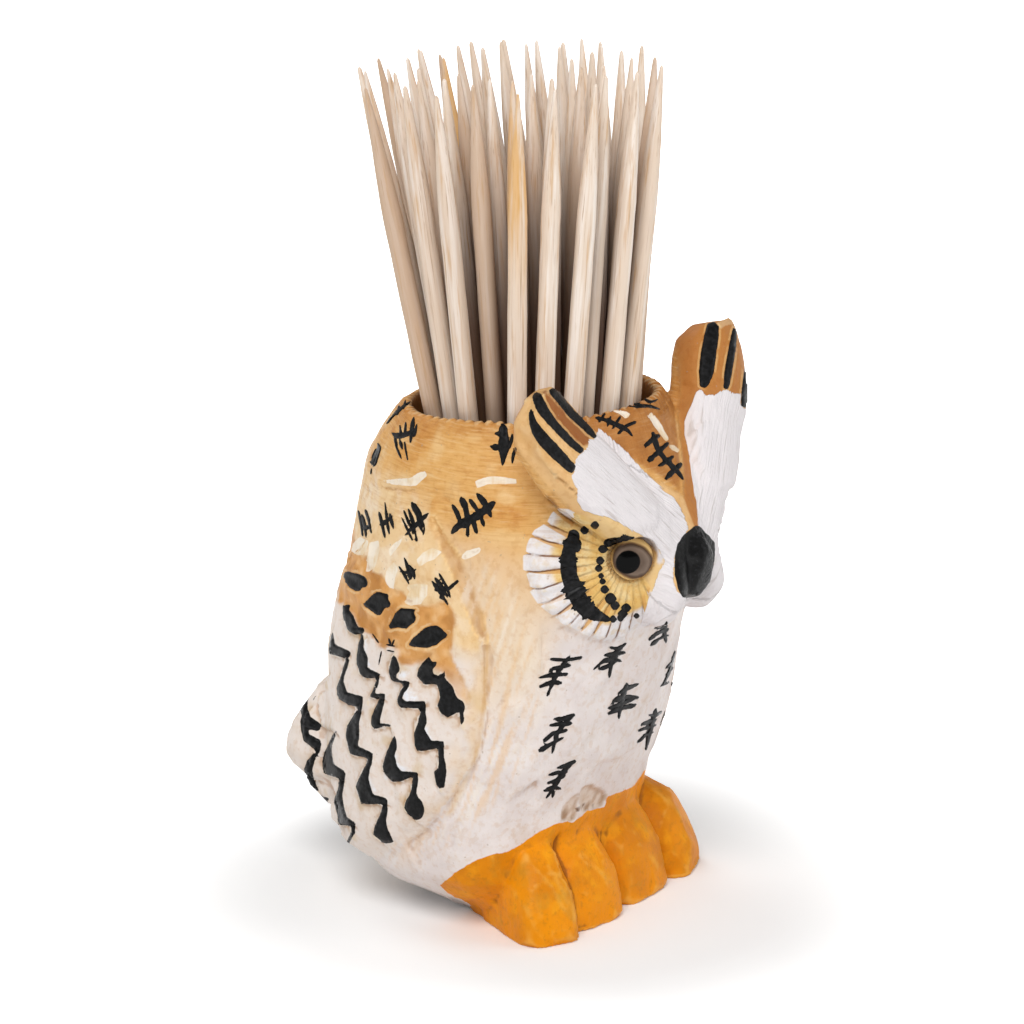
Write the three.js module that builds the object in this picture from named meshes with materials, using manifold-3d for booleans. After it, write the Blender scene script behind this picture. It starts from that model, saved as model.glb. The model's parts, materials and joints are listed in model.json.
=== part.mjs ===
// A carved wooden owl with a round bore in its crown, full of wooden toothpicks.
// Millimetres, +Z up. The owl looks along -Y and its right side is at -X.
// The bore's axis is the Z axis, and the flat base lies on Z = 0.
import * as THREE from "three";
import { mergeVertices } from "three/addons/utils/BufferGeometryUtils.js";
import Module from "manifold-3d";

const wasm = await Module();
wasm.setup();

// Sizes of the toothpicks: round, pointed at both ends.
const pick = { length: 65, diameter: 2, tipDiameter: 0.6, taper: 10, sides: 8 };
// The width on the way from a tip to the full diameter, in shares of the taper.
const taperShares = [
  { along: 0, wide: 0 },
  { along: 0.5, wide: 0.62 },
  { along: 1, wide: 1 },
];

// The bore and what stands in it.
const bore = { radius: 11.9, depth: 31.4, rimWall: 0.9, sides: 48 };
const clearance = { seat: 0.3, pickToWall: 0.35, pickToPick: 0.09, eyeToSocket: 0.3 };

// The bundle stands in a hexagonal pattern at its waist, and fans out, turns and strays above it.
const bundle = {
  latticeRadiusShare: 3.61, // of the spacing
  coreRadiusShare: 1.1, // of the spacing: the picks nearer the axis are left out
  turnDegrees: -6, // of the pattern at the waist
  twistDegrees: 14, // from the waist to the rim
  waistShift: { x: 0.8, y: -1.3 },
  wander: 0.3, // how far a pick strays from the pattern at the rim
  strayTurns: { x: 2.4, y: 3.7 }, // radians from one pick's stray to the next one's
};

// The torso: half width to the sides, reach to the front and the back of the bore's axis.
const torso = {
  height: 52.6,
  halfWidth: 17.3,
  frontReach: 15.5,
  backReach: 21,
  crownRise: 1.1, // the rim climbs this much towards the face, and falls as much at the back
  crownPower: 4, // how late the climb starts on the way up
  roundness: 2.15, // of the plan: 2 is an oval, more is squarer
  roundTopPower: 6, // how late the plan turns to an oval on the way up
  columns: 56,
};
// Height as a share of the torso's. The reaches are shares of the way from the rim's radius
// to the full half width, front reach and back reach.
const torsoShares = [
  { height: 0, side: -1.2, front: -2.4, back: -0.8 },
  { height: 0.025, side: -0.7, front: -2.2, back: -0.14 },
  { height: 0.065, side: -0.02, front: -2, back: 0.28 },
  { height: 0.105, side: 0.5, front: -1.9, back: 0.71 },
  { height: 0.16, side: 0.72, front: -1.75, back: 0.98 },
  { height: 0.24, side: 0.85, front: -1.35, back: 1 },
  { height: 0.35, side: 0.98, front: -0.45, back: 0.98 },
  { height: 0.475, side: 1, front: 0.14, back: 0.9 },
  { height: 0.6, side: 0.96, front: 0.68, back: 0.77 },
  { height: 0.72, side: 0.85, front: 0.9, back: 0.65 },
  { height: 0.837, side: 0.65, front: 0.8, back: 0.53 },
  { height: 0.913, side: 0.48, front: 0.6, back: 0.4 },
  { height: 0.965, side: 0.26, front: 0.3, back: 0.18 },
  { height: 1, side: 0, front: 0, back: 0 },
];

// The head is a block on the torso's front, wedge-shaped in plan, between the chin and the crown.
const head = { halfWidth: 13.8, frontReach: 19.2, widestAhead: 5, backReach: 2, wedge: 1.7, columns: 48 };
const headShares = [
  { height: 0.585, side: 0.5, front: 0.74 },
  { height: 0.61, side: 0.75, front: 0.86 },
  { height: 0.655, side: 0.93, front: 0.94 },
  { height: 0.72, side: 1, front: 0.985 },
  { height: 0.793, side: 1, front: 0.985 },
  { height: 0.88, side: 0.97, front: 0.86 },
  { height: 0.95, side: 0.9, front: 0.755 },
  { height: 1, side: 0.8, front: 0.68 },
  { height: 1.015, side: 0.7, front: 0.64 },
];

// A brow ridge runs from the beak up to the tip of its ear tuft. The middle of its face is given
// in shares of the head's half width, its front reach and the torso's height, and its width and
// thickness in shares of its own.
const brow = { halfWidth: 4.25, halfThickness: 2.7, sides: 20, squareness: 2.8 };
const browShares = [
  { across: 0.136, ahead: 0.995, up: 0.73, width: 0.42, thickness: 0.5 },
  { across: 0.237, ahead: 0.99, up: 0.772, width: 0.54, thickness: 0.6 },
  { across: 0.452, ahead: 0.945, up: 0.83, width: 0.76, thickness: 0.75 },
  { across: 0.7, ahead: 0.865, up: 0.897, width: 0.96, thickness: 0.9 },
  { across: 0.97, ahead: 0.77, up: 0.975, width: 1, thickness: 1 },
  { across: 1.12, ahead: 0.69, up: 1.04, width: 0.9, thickness: 0.95 },
  { across: 1.18, ahead: 0.65, up: 1.08, width: 0.74, thickness: 0.85 },
  { across: 1.19, ahead: 0.635, up: 1.104, width: 0.42, thickness: 0.55 },
];

// The feather disc round an eye, with carved rays, and the socket and glass eye at its centre.
// It reaches furthest away from the beak, and less far down, towards the beak and up.
const disc = { radius: 10, height: 0.7, rayDepth: 0.35, rays: 24, pointsPerRay: 4, sink: 2.5 };
const discReachShares = { outward: 1, down: 0.88, inward: 0.46, up: 0.5 };
// The disc's rings from its edge in: shares of its reach, its height and the depth of its rays.
const discRingShares = [
  { reach: 1, lift: 0.6, ray: 1 },
  { reach: 0.94, lift: 1, ray: 1 },
  { reach: 0.62, lift: 1, ray: 0.7 },
  { reach: 0.36, lift: 0.8, ray: 0 },
];
const eye = { radius: 2.1, dome: 1, edge: 0.9, across: 7.4, up: 39.7, sides: 24, domeRings: 6 };

// A cheek swells on each side of the beak.
const cheek = { halfWidth: 2.4, halfHeight: 4.6, reach: 3, across: 3.6, ahead: 16.8, up: 36.5, sides: 16 };

const beak = { halfWidth: 2.6, halfHeight: 3.5, reach: 2.2, sink: 0.9, up: 37.7, sides: 14 };

// Beak and cheeks are egg-like lumps of level rings. Their end rings stand off the poles by a
// share of a ring's step.
const lump = { rings: 7, endShare: 0.4 };

// A wing is a pad on the torso's side. Its outline is in degrees round the bore's axis from the
// front, and in shares of the torso's height.
const wing = { rise: 0.9, sink: 2, outlineSteps: 40 };
// The pad's rings from its edge in: shares of the outline's size and of the rise.
const wingRingShares = [
  { size: 1, lift: 0.2 },
  { size: 0.93, lift: 1 },
  { size: 0.7, lift: 1 },
  { size: 0.4, lift: 1 },
];
const wingOutlineShares = [
  { turn: 97, height: 0.81 },
  { turn: 84, height: 0.72 },
  { turn: 75, height: 0.6 },
  { turn: 73, height: 0.475 },
  { turn: 76, height: 0.38 },
  { turn: 86, height: 0.29 },
  { turn: 99, height: 0.205 },
  { turn: 122, height: 0.125 },
  { turn: 140, height: 0.11 },
  { turn: 153, height: 0.17 },
  { turn: 158, height: 0.3 },
  { turn: 157, height: 0.45 },
  { turn: 150, height: 0.58 },
  { turn: 136, height: 0.7 },
  { turn: 117, height: 0.79 },
];

// The tail is a wedge at the back: its top runs down and out to the tip, and its underside back
// in to the base. Places are shares of the tail's reach and of the torso's height.
const tail = { reach: 26.6, halfWidth: 9.4, squareness: 2.5, sides: 24 };
const tailShares = [
  { out: 0.3, top: 0.6, bottom: 0.04, width: 1 },
  { out: 0.58, top: 0.54, bottom: 0.07, width: 1 },
  { out: 0.76, top: 0.455, bottom: 0.11, width: 0.98 },
  { out: 0.88, top: 0.375, bottom: 0.155, width: 0.9 },
  { out: 0.965, top: 0.31, bottom: 0.205, width: 0.74 },
  { out: 1, top: 0.28, bottom: 0.24, width: 0.5 },
];

// Four toes side by side, steep in front of the body and cut flat on the ground. Each one has its
// place across in shares of the torso's half width, and shares of the reach, the width and the
// height. Its splay is how far it turns out for each millimetre ahead.
const foot = { height: 10.4, reach: 12.6, toeHalfWidth: 4.7, squareness: 2.5, sides: 20 };
const toePlaceShares = [
  { across: -0.38, reach: 0.94, splay: -0.52, width: 0.7, height: 0.94 },
  { across: -0.17, reach: 0.89, splay: -0.14, width: 0.95, height: 1 },
  { across: 0.31, reach: 0.85, splay: 0.03, width: 1, height: 1 },
  { across: 0.7, reach: 0.84, splay: 0.36, width: 0.86, height: 0.84 },
];
const toeShares = [
  { ahead: -0.1, top: 0.76, width: 0.7 },
  { ahead: 0.25, top: 1, width: 0.86 },
  { ahead: 0.48, top: 1.06, width: 0.97 },
  { ahead: 0.7, top: 0.93, width: 1 },
  { ahead: 0.86, top: 0.66, width: 0.97 },
  { ahead: 0.96, top: 0.4, width: 0.82 },
  { ahead: 1, top: 0.22, width: 0.54 },
];

const overrun = 5; // how far a solid runs past the face that it cuts, or that cuts it
const halvings = 40; // how often a search halves the range that it looks in
const nudge = 0.05; // how far apart two points lie that give a slope: radians, or a share of height

const rimRadius = bore.radius + bore.rimWall;
const boreFloor = torso.height - bore.depth;

// Materials, from the photograph: painted wood, bare birch and glass.
function finish(colour, roughness) {
  return new THREE.MeshStandardMaterial({ color: colour, roughness, metalness: 0 });
}

const paintedWood = finish(0xe3cfae, 0.6);
const glass = finish(0x14100e, 0.08);
const birch = finish(0xe3cbb0, 0.7);

// Joins rings of as many points each into one closed skin, with a fan at each end.
function loft(rings) {
  const around = rings[0].length;
  const points = rings.flat();
  const triangles = [];
  for (let r = 0; r + 1 < rings.length; r++) {
    for (let i = 0; i < around; i++) {
      const a = r * around + i;
      const b = r * around + ((i + 1) % around);
      triangles.push(a, b, b + around, a, b + around, a + around);
    }
  }
  const middle = (ring) =>
    ring.reduce((sum, p) => sum.add(p), new THREE.Vector3()).divideScalar(ring.length);
  const first = points.push(middle(rings[0])) - 1;
  const last = points.push(middle(rings[rings.length - 1])) - 1;
  const top = (rings.length - 1) * around;
  for (let i = 0; i < around; i++) {
    const next = (i + 1) % around;
    triangles.push(first, next, i, last, top + i, top + next);
  }
  const geometry = new THREE.BufferGeometry().setFromPoints(points);
  geometry.setIndex(triangles);
  return geometry;
}

function toSolid(geometry) {
  const bare = geometry.clone();
  bare.deleteAttribute("normal");
  bare.deleteAttribute("uv");
  const merged = mergeVertices(bare);
  const solid = new wasm.Manifold(
    new wasm.Mesh({
      numProp: 3,
      vertProperties: merged.attributes.position.array,
      triVerts: new Uint32Array(merged.index.array),
    }),
  );
  return solid;
}

function toGeometry(solid) {
  const mesh = solid.getMesh();
  const geometry = new THREE.BufferGeometry();
  geometry.setAttribute("position", new THREE.BufferAttribute(mesh.vertProperties, mesh.numProp));
  geometry.setIndex(new THREE.BufferAttribute(mesh.triVerts, 1));
  return geometry;
}

// A value read from a table of rows at a height or along a path, smoothed between the rows.
function readTable(rows, key, by, at) {
  const last = rows.length - 1;
  let i = 0;
  while (i < last - 1 && rows[i + 1][by] < at) i++;
  const row = (n) => rows[Math.min(Math.max(n, 0), last)];
  const span = row(i + 1)[by] - row(i)[by];
  const t = THREE.MathUtils.clamp((at - row(i)[by]) / span, 0, 1);
  const slope = (n) => {
    const wide = row(n + 1)[by] - row(n - 1)[by];
    return ((row(n + 1)[key] - row(n - 1)[key]) / wide) * span;
  };
  const from = row(i)[key];
  const to = row(i + 1)[key];
  const rise = t * t * (3 - 2 * t);
  return (
    from * (1 - rise) +
    to * rise +
    slope(i) * t * (1 - t) * (1 - t) -
    slope(i + 1) * t * t * (1 - t)
  );
}

// A rounded closed section: angle 0 points to -Y, and 90 degrees to +X.
function rounded(angle, halfWidth, front, back, power) {
  const s = Math.sin(angle);
  const c = Math.cos(angle);
  const bend = (v) => Math.sign(v) * Math.abs(v) ** (2 / power);
  return [halfWidth * bend(s), -(c > 0 ? front : back) * bend(c)];
}

// How far the torso reaches at a share of its height.
function torsoReach(key, full, share) {
  return rimRadius + (full - rimRadius) * readTable(torsoShares, key, "height", share);
}

// The torso's skin at a turn round the bore's axis and a share of its height.
function torsoPoint(turn, share) {
  const [x, y] = rounded(
    turn,
    torsoReach("side", torso.halfWidth, share),
    torsoReach("front", torso.frontReach, share),
    torsoReach("back", torso.backReach, share),
    2 + (torso.roundness - 2) * (1 - share ** torso.roundTopPower),
  );
  const climb = (torso.crownRise * share ** torso.crownPower * -y) / rimRadius;
  return new THREE.Vector3(x, y, torso.height * share + climb);
}

function ring(count, pointAt) {
  return Array.from({ length: count }, (_, i) => pointAt((i / count) * 2 * Math.PI));
}

function makeTorso() {
  return loft(
    torsoShares.map(({ height }) => ring(torso.columns, (turn) => torsoPoint(turn, height))),
  );
}

function headPoint(turn, share) {
  const side = head.halfWidth * readTable(headShares, "side", "height", share);
  const front = head.frontReach * readTable(headShares, "front", "height", share);
  const [x, y] = rounded(turn, side, front - head.widestAhead, head.backReach, head.wedge);
  return new THREE.Vector3(x, y - head.widestAhead, torso.height * share);
}

function makeHead() {
  return loft(
    headShares.map(({ height }) => ring(head.columns, (turn) => headPoint(turn, height))),
  );
}

// Flat oval rings along a path of centres, each square to the path, with its width along wide.
function sweep(stations, sides, power) {
  const rings = stations.map(({ centre, wide, thick, halfWidth, halfThickness }) =>
    ring(sides, (angle) => {
      const [a, b] = rounded(angle, halfWidth, halfThickness, halfThickness, power);
      return centre.clone().addScaledVector(wide, a).addScaledVector(thick, -b);
    }),
  );
  return loft(rings);
}

function tangentAt(centres, i) {
  const before = centres[Math.max(i - 1, 0)];
  const after = centres[Math.min(i + 1, centres.length - 1)];
  return after.clone().sub(before).normalize();
}

// The right brow and ear tuft; the left one is its mirror image. Its face looks along the
// forehead's slope.
function makeBrow() {
  const faces = browShares.map(
    ({ across, ahead, up }) =>
      new THREE.Vector3(-across * head.halfWidth, -ahead * head.frontReach, up * torso.height),
  );
  const last = faces.length - 1;
  const across = new THREE.Vector3(1, 0, 0);
  const slope = new THREE.Vector3(0, faces[last].y - faces[0].y, faces[last].z - faces[0].z);
  const outward = new THREE.Vector3().crossVectors(across, slope).normalize();
  const stations = browShares.map(({ width, thickness }, i) => {
    const along = tangentAt(faces, i);
    const wide = new THREE.Vector3().crossVectors(along, outward).normalize();
    const thick = new THREE.Vector3().crossVectors(wide, along).normalize();
    const halfThickness = brow.halfThickness * thickness;
    return {
      centre: faces[i].clone().addScaledVector(outward, -halfThickness),
      wide,
      thick,
      halfWidth: brow.halfWidth * width,
      halfThickness,
    };
  });
  return sweep(stations, brow.sides, brow.squareness);
}

// Where an eye sits: the head's skin at the eye's place, and the way it looks out.
function eyeSeat() {
  const share = eye.up / torso.height;
  const turnAt = (across) => {
    let low = -Math.PI / 2;
    let high = 0;
    for (let i = 0; i < halvings; i++) {
      const turn = (low + high) / 2;
      if (headPoint(turn, share).x < -across) low = turn;
      else high = turn;
    }
    return low;
  };
  const turn = turnAt(eye.across);
  const place = headPoint(turn, share);
  const sideways = headPoint(turn + nudge, share).sub(headPoint(turn - nudge, share));
  const upward = headPoint(turn, share + nudge).sub(headPoint(turn, share - nudge));
  const out = new THREE.Vector3().crossVectors(sideways, upward).normalize();
  return { place, out };
}

// The right feather disc: rays fan out from the eye and stand a little proud of the head.
function makeDisc() {
  const { place, out } = eyeSeat();
  const inward = new THREE.Vector3().crossVectors(new THREE.Vector3(0, 0, 1), out).normalize();
  const upward = new THREE.Vector3().crossVectors(out, inward).normalize();
  const columns = disc.rays * disc.pointsPerRay;
  const reachAt = (angle) => {
    const c = Math.cos(angle);
    const s = Math.sin(angle);
    const sideways = c > 0 ? discReachShares.inward : discReachShares.outward;
    const upright = s > 0 ? discReachShares.up : discReachShares.down;
    return disc.radius / Math.hypot(c / sideways, s / upright);
  };
  const skin = (angle, share, lift) => {
    const p = place.clone();
    p.addScaledVector(inward, Math.cos(angle) * reachAt(angle) * share);
    p.addScaledVector(upward, Math.sin(angle) * reachAt(angle) * share);
    return p.addScaledVector(out, depthUnder(p, out) + lift);
  };
  const wave = (angle) => Math.cos(angle * disc.rays) * disc.rayDepth;
  const root = ring(columns, (angle) => skin(angle, 1, -disc.sink));
  const rings = discRingShares.map(({ reach, lift, ray }) =>
    ring(columns, (angle) => skin(angle, reach, disc.height * lift + wave(angle) * ray)),
  );
  return loft([root, ...rings]);
}

// Whether a point lies inside the head or the torso.
function isInside(p) {
  const share = THREE.MathUtils.clamp(p.z / torso.height, headShares[0].height, 1);
  const within = (across, halfWidth, ahead, reach, power) =>
    Math.abs(across / halfWidth) ** power + Math.abs(ahead / reach) ** power < 1;
  const inFront = -p.y - head.widestAhead;
  const headFront = head.frontReach * readTable(headShares, "front", "height", share);
  const inHead = within(
    p.x,
    head.halfWidth * readTable(headShares, "side", "height", share),
    inFront,
    inFront > 0 ? headFront - head.widestAhead : head.backReach,
    head.wedge,
  );
  const inTorso = within(
    p.x,
    torsoReach("side", torso.halfWidth, share),
    p.y,
    p.y < 0
      ? torsoReach("front", torso.frontReach, share)
      : torsoReach("back", torso.backReach, share),
    torso.roundness,
  );
  return inHead || inTorso;
}

// How far along a way the skin lies from a point.
function depthUnder(point, way) {
  let low = -head.halfWidth;
  let high = disc.radius;
  for (let i = 0; i < halvings; i++) {
    const depth = (low + high) / 2;
    if (isInside(point.clone().addScaledVector(way, depth))) low = depth;
    else high = depth;
  }
  return low;
}

// An egg-like lump: rings between its bottom and its top.
function makeLump(centre, halfWidth, reach, halfHeight, sides) {
  const steps = lump.rings - 1 + 2 * lump.endShare;
  const rings = Array.from({ length: lump.rings }, (_, i) => {
    const angle = ((i + lump.endShare) / steps) * Math.PI - Math.PI / 2;
    const wide = Math.cos(angle);
    return ring(sides, (turn) => {
      const [x, y] = rounded(turn, halfWidth * wide, reach * wide, reach * wide, 2);
      return centre.clone().add(new THREE.Vector3(x, y, Math.sin(angle) * halfHeight));
    });
  });
  return loft(rings);
}

function makeBeak() {
  const centre = new THREE.Vector3(0, beak.sink - head.frontReach, beak.up);
  return makeLump(centre, beak.halfWidth, beak.reach, beak.halfHeight, beak.sides);
}

function makeCheek() {
  const centre = new THREE.Vector3(-cheek.across, -cheek.ahead, cheek.up);
  return makeLump(centre, cheek.halfWidth, cheek.reach, cheek.halfHeight, cheek.sides);
}

// The right wing: a bevelled pad that follows the torso's skin.
function makeWing() {
  const corners = wingOutlineShares.map(({ turn, height }) => new THREE.Vector3(turn, height, 0));
  const outline = new THREE.CatmullRomCurve3(corners, true).getPoints(wing.outlineSteps);
  outline.pop();
  const middle = corners
    .reduce((sum, p) => sum.add(p), new THREE.Vector3())
    .divideScalar(corners.length);
  const outlineRing = (scale, lift) =>
    outline
      .map((corner) => {
        const at = middle.clone().lerp(corner, scale);
        const p = torsoPoint(-THREE.MathUtils.degToRad(at.x), at.y);
        const out = new THREE.Vector3(p.x, p.y, 0).normalize();
        return p.addScaledVector(out, lift);
      })
      .reverse();
  const rings = wingRingShares.map(({ size, lift }) => outlineRing(size, wing.rise * lift));
  return loft([outlineRing(1, -wing.sink), ...rings]);
}

// A solid of rings that stand square to a level way, each between its bottom and its top.
function standingLoft(stations, sides, power) {
  const rings = stations.map(({ centre, wide, halfWidth, bottom, top }) => {
    const half = (top - bottom) / 2;
    return ring(sides, (angle) => {
      const [a, b] = rounded(angle, halfWidth, half, half, power);
      return new THREE.Vector3(centre.x + wide.x * a, centre.y + wide.y * a, top - half - b);
    });
  });
  return loft(rings);
}

function makeTail() {
  const stations = tailShares.map(({ out, top, bottom, width }) => ({
    centre: new THREE.Vector3(0, out * tail.reach, 0),
    wide: new THREE.Vector3(1, 0, 0),
    halfWidth: tail.halfWidth * width,
    bottom: bottom * torso.height,
    top: top * torso.height,
  }));
  return standingLoft(stations, tail.sides, tail.squareness);
}

function makeToe({ across, reach, splay, width: girth, height }) {
  const way = new THREE.Vector3(splay, -1, 0).normalize();
  const root = new THREE.Vector3(across * torso.halfWidth, 0, 0);
  const stations = toeShares.map(({ ahead, top, width }) => ({
    centre: root.clone().addScaledVector(way, ahead * reach * foot.reach),
    wide: new THREE.Vector3(way.y, -way.x, 0),
    halfWidth: foot.toeHalfWidth * width * girth,
    bottom: -overrun,
    top: top * height * foot.height,
  }));
  return standingLoft(stations, foot.sides, foot.squareness);
}

function mirrored(solid) {
  return solid.mirror([1, 0, 0]);
}

// Turns a shape that points along +Y to point along out, at a place.
function placed(geometry, place, out) {
  const turn = new THREE.Quaternion().setFromUnitVectors(new THREE.Vector3(0, 1, 0), out);
  return geometry.clone().applyQuaternion(turn).translate(place.x, place.y, place.z);
}

function makeBoreCutter() {
  const tall = bore.depth + head.frontReach;
  const cutter = new THREE.CylinderGeometry(bore.radius, bore.radius, tall, bore.sides);
  cutter.rotateX(Math.PI / 2);
  cutter.translate(0, 0, boreFloor + tall / 2);
  return cutter;
}

// Everything under the ground, so that the base and the toes are cut flat at Z = 0.
function makeGroundCutter() {
  const span = 2 * (tail.reach + torso.halfWidth);
  const cutter = new THREE.BoxGeometry(span, span, torso.height);
  cutter.translate(0, 0, -torso.height / 2);
  return cutter;
}

function makeSocketCutter(seat) {
  const radius = eye.radius + clearance.eyeToSocket;
  const deep = eye.edge + clearance.seat;
  const cutter = new THREE.CylinderGeometry(radius, radius, deep + overrun, eye.sides);
  cutter.translate(0, (overrun - deep) / 2, 0);
  return placed(cutter, eyeFace(seat), seat.out);
}

// The plane that an eye's rim stands on: the feather disc's face at its centre.
function eyeFace(seat) {
  const { lift } = discRingShares[discRingShares.length - 1];
  return seat.place.clone().addScaledVector(seat.out, disc.height * lift);
}

function makeOwl(seat) {
  const right = [makeBrow(), makeDisc(), makeCheek(), makeWing()].map(toSolid);
  const middle = [makeTorso(), makeHead(), makeBeak(), makeTail()].map(toSolid);
  const toes = toePlaceShares.map((place) => toSolid(makeToe(place)));
  const socket = toSolid(makeSocketCutter(seat));
  let owl = middle[0];
  for (const solid of [...middle.slice(1), ...right, ...right.map(mirrored), ...toes]) {
    owl = owl.add(solid);
  }
  for (const cutter of [makeBoreCutter(), makeGroundCutter()]) {
    owl = owl.subtract(toSolid(cutter));
  }
  return toGeometry(owl.subtract(socket).subtract(mirrored(socket)));
}

// A glass eye: a domed button whose flat back stands in the socket.
function makeEye() {
  const profile = [new THREE.Vector2(0, -eye.edge), new THREE.Vector2(eye.radius, -eye.edge)];
  for (let i = 0; i < eye.domeRings; i++) {
    const angle = ((i / eye.domeRings) * Math.PI) / 2;
    const out = eye.radius * Math.cos(angle);
    profile.push(new THREE.Vector2(out, eye.dome * Math.sin(angle)));
  }
  profile.push(new THREE.Vector2(0, eye.dome));
  return new THREE.LatheGeometry(profile, eye.sides);
}

function makePick() {
  const radius = pick.diameter / 2;
  const tip = pick.tipDiameter / 2;
  const lower = taperShares.map(
    ({ along, wide }) => new THREE.Vector2(tip + (radius - tip) * wide, along * pick.taper),
  );
  const upper = lower.map(({ x, y }) => new THREE.Vector2(x, pick.length - y)).reverse();
  const ends = [new THREE.Vector2(0, 0), new THREE.Vector2(0, pick.length)];
  return new THREE.LatheGeometry([ends[0], ...lower, ...upper, ends[1]], pick.sides);
}

// Where each pick stands: its lower tip and its direction.
function pickPlaces() {
  const spacing = pick.diameter + clearance.pickToPick;
  const places = [];
  const reach = Math.ceil(bundle.latticeRadiusShare) + 1;
  const outerAtWaist = bundle.latticeRadiusShare * spacing;
  const outerAtRim = bore.radius - pick.diameter / 2 - clearance.pickToWall - bundle.wander;
  const growth = outerAtRim / outerAtWaist;
  const turn = THREE.MathUtils.degToRad(bundle.turnDegrees);
  const twist = turn + THREE.MathUtils.degToRad(bundle.twistDegrees);
  const waistHeight = boreFloor + clearance.seat + pick.taper;
  for (let row = -reach; row <= reach; row++) {
    for (let column = -reach; column <= reach; column++) {
      const x = (column + row / 2) * spacing;
      const y = row * spacing * Math.sin(Math.PI / 3);
      const radius = Math.hypot(x, y);
      const inCore = radius < bundle.coreRadiusShare * spacing;
      if (radius > outerAtWaist || inCore) continue;
      const n = places.length;
      const stray = {
        x: Math.sin(n * bundle.strayTurns.x) * bundle.wander,
        y: Math.cos(n * bundle.strayTurns.y) * bundle.wander,
      };
      const waist = new THREE.Vector3(
        x * Math.cos(turn) - y * Math.sin(turn) + bundle.waistShift.x,
        x * Math.sin(turn) + y * Math.cos(turn) + bundle.waistShift.y,
        waistHeight,
      );
      const rim = new THREE.Vector3(
        growth * (x * Math.cos(twist) - y * Math.sin(twist)) + stray.x,
        growth * (x * Math.sin(twist) + y * Math.cos(twist)) + stray.y,
        torso.height,
      );
      const way = rim.sub(waist).normalize();
      const down = (waistHeight - boreFloor - clearance.seat) / way.z;
      places.push({ tip: waist.addScaledVector(way, -down), way });
    }
  }
  return places;
}

const owl = new THREE.Group();

function addPiece(name, geometry, material) {
  const mesh = new THREE.Mesh(geometry, material);
  mesh.name = name;
  owl.add(mesh);
  return mesh;
}

const seat = eyeSeat();
addPiece("owl_body", makeOwl(seat), paintedWood);

for (const [name, side] of [
  ["eye_right", 1],
  ["eye_left", -1],
]) {
  const mesh = addPiece(name, makeEye(), glass);
  const face = eyeFace(seat);
  mesh.position.set(face.x * side, face.y, face.z);
  const out = new THREE.Vector3(seat.out.x * side, seat.out.y, seat.out.z);
  mesh.quaternion.setFromUnitVectors(new THREE.Vector3(0, 1, 0), out);
}

pickPlaces().forEach(({ tip, way }, i) => {
  const mesh = addPiece(`toothpick_${String(i + 1).padStart(2, "0")}`, makePick(), birch);
  mesh.position.copy(tip);
  mesh.quaternion.setFromUnitVectors(new THREE.Vector3(0, 1, 0), way);
});

export default owl;
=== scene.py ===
"""A carved and painted wooden owl with toothpicks in the bore behind its head, on a pale floor.

Lengths are in millimetres until a mesh is written; Blender objects are in metres.
"""
import json
import math
from itertools import product

import bmesh
import bpy
import numpy as np
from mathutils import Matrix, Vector
from mathutils.geometry import delaunay_2d_cdt
from mathutils.bvhtree import BVHTree


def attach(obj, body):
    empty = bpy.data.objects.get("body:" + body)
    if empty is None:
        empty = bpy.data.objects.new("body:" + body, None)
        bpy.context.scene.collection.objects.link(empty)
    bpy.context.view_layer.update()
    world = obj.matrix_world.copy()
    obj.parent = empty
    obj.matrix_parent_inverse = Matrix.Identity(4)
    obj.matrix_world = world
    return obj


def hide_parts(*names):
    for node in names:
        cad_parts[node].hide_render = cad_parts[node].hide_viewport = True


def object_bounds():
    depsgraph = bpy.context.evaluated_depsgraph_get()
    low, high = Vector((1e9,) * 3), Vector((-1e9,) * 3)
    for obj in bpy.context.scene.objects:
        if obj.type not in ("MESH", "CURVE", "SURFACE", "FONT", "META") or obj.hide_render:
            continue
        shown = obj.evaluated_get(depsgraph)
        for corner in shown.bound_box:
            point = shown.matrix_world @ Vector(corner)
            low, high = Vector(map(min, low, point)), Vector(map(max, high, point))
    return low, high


MM = 0.001
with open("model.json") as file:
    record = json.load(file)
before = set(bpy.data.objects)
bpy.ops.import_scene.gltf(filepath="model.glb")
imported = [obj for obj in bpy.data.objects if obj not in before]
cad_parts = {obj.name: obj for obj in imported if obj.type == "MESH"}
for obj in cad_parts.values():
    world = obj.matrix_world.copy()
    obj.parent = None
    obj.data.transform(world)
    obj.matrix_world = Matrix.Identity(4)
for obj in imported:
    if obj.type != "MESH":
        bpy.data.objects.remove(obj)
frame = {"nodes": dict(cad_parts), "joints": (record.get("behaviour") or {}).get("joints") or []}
cad_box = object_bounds()

# The camera: where it looks from, and where the middle of the base is in the picture.
VIEW_TURN = math.radians(-58)
VIEW_RISE = math.radians(16)
VIEW_RANGE = 600.0
FOCAL = 6000.0  # pixels
PICTURE = 1024.0  # pixels
TARGET = np.array([0.0, 0.0, 36.0])
GROUND_AT = (532.0, 893.0)
PIXELS_PER_MM = FOCAL / VIEW_RANGE

BACK = np.array([
    math.sin(VIEW_TURN) * math.cos(VIEW_RISE),
    -math.cos(VIEW_TURN) * math.cos(VIEW_RISE),
    math.sin(VIEW_RISE),
])
RIGHT = np.array([math.cos(VIEW_TURN), math.sin(VIEW_TURN), 0.0])
UP = np.cross(BACK, RIGHT)
EYE_POINT = TARGET + BACK * VIEW_RANGE


def seen_from_camera(points):
    """Right, down and ahead of the camera's axis: pixels, pixels and millimetres."""
    away = points - EYE_POINT
    ahead = away @ -BACK
    return FOCAL * (away @ RIGHT) / ahead, -FOCAL * (away @ UP) / ahead, ahead


_right, _down, _ = seen_from_camera(np.zeros((1, 3)))
CENTRE = (GROUND_AT[0] - float(_right[0]), GROUND_AT[1] - float(_down[0]))


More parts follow.
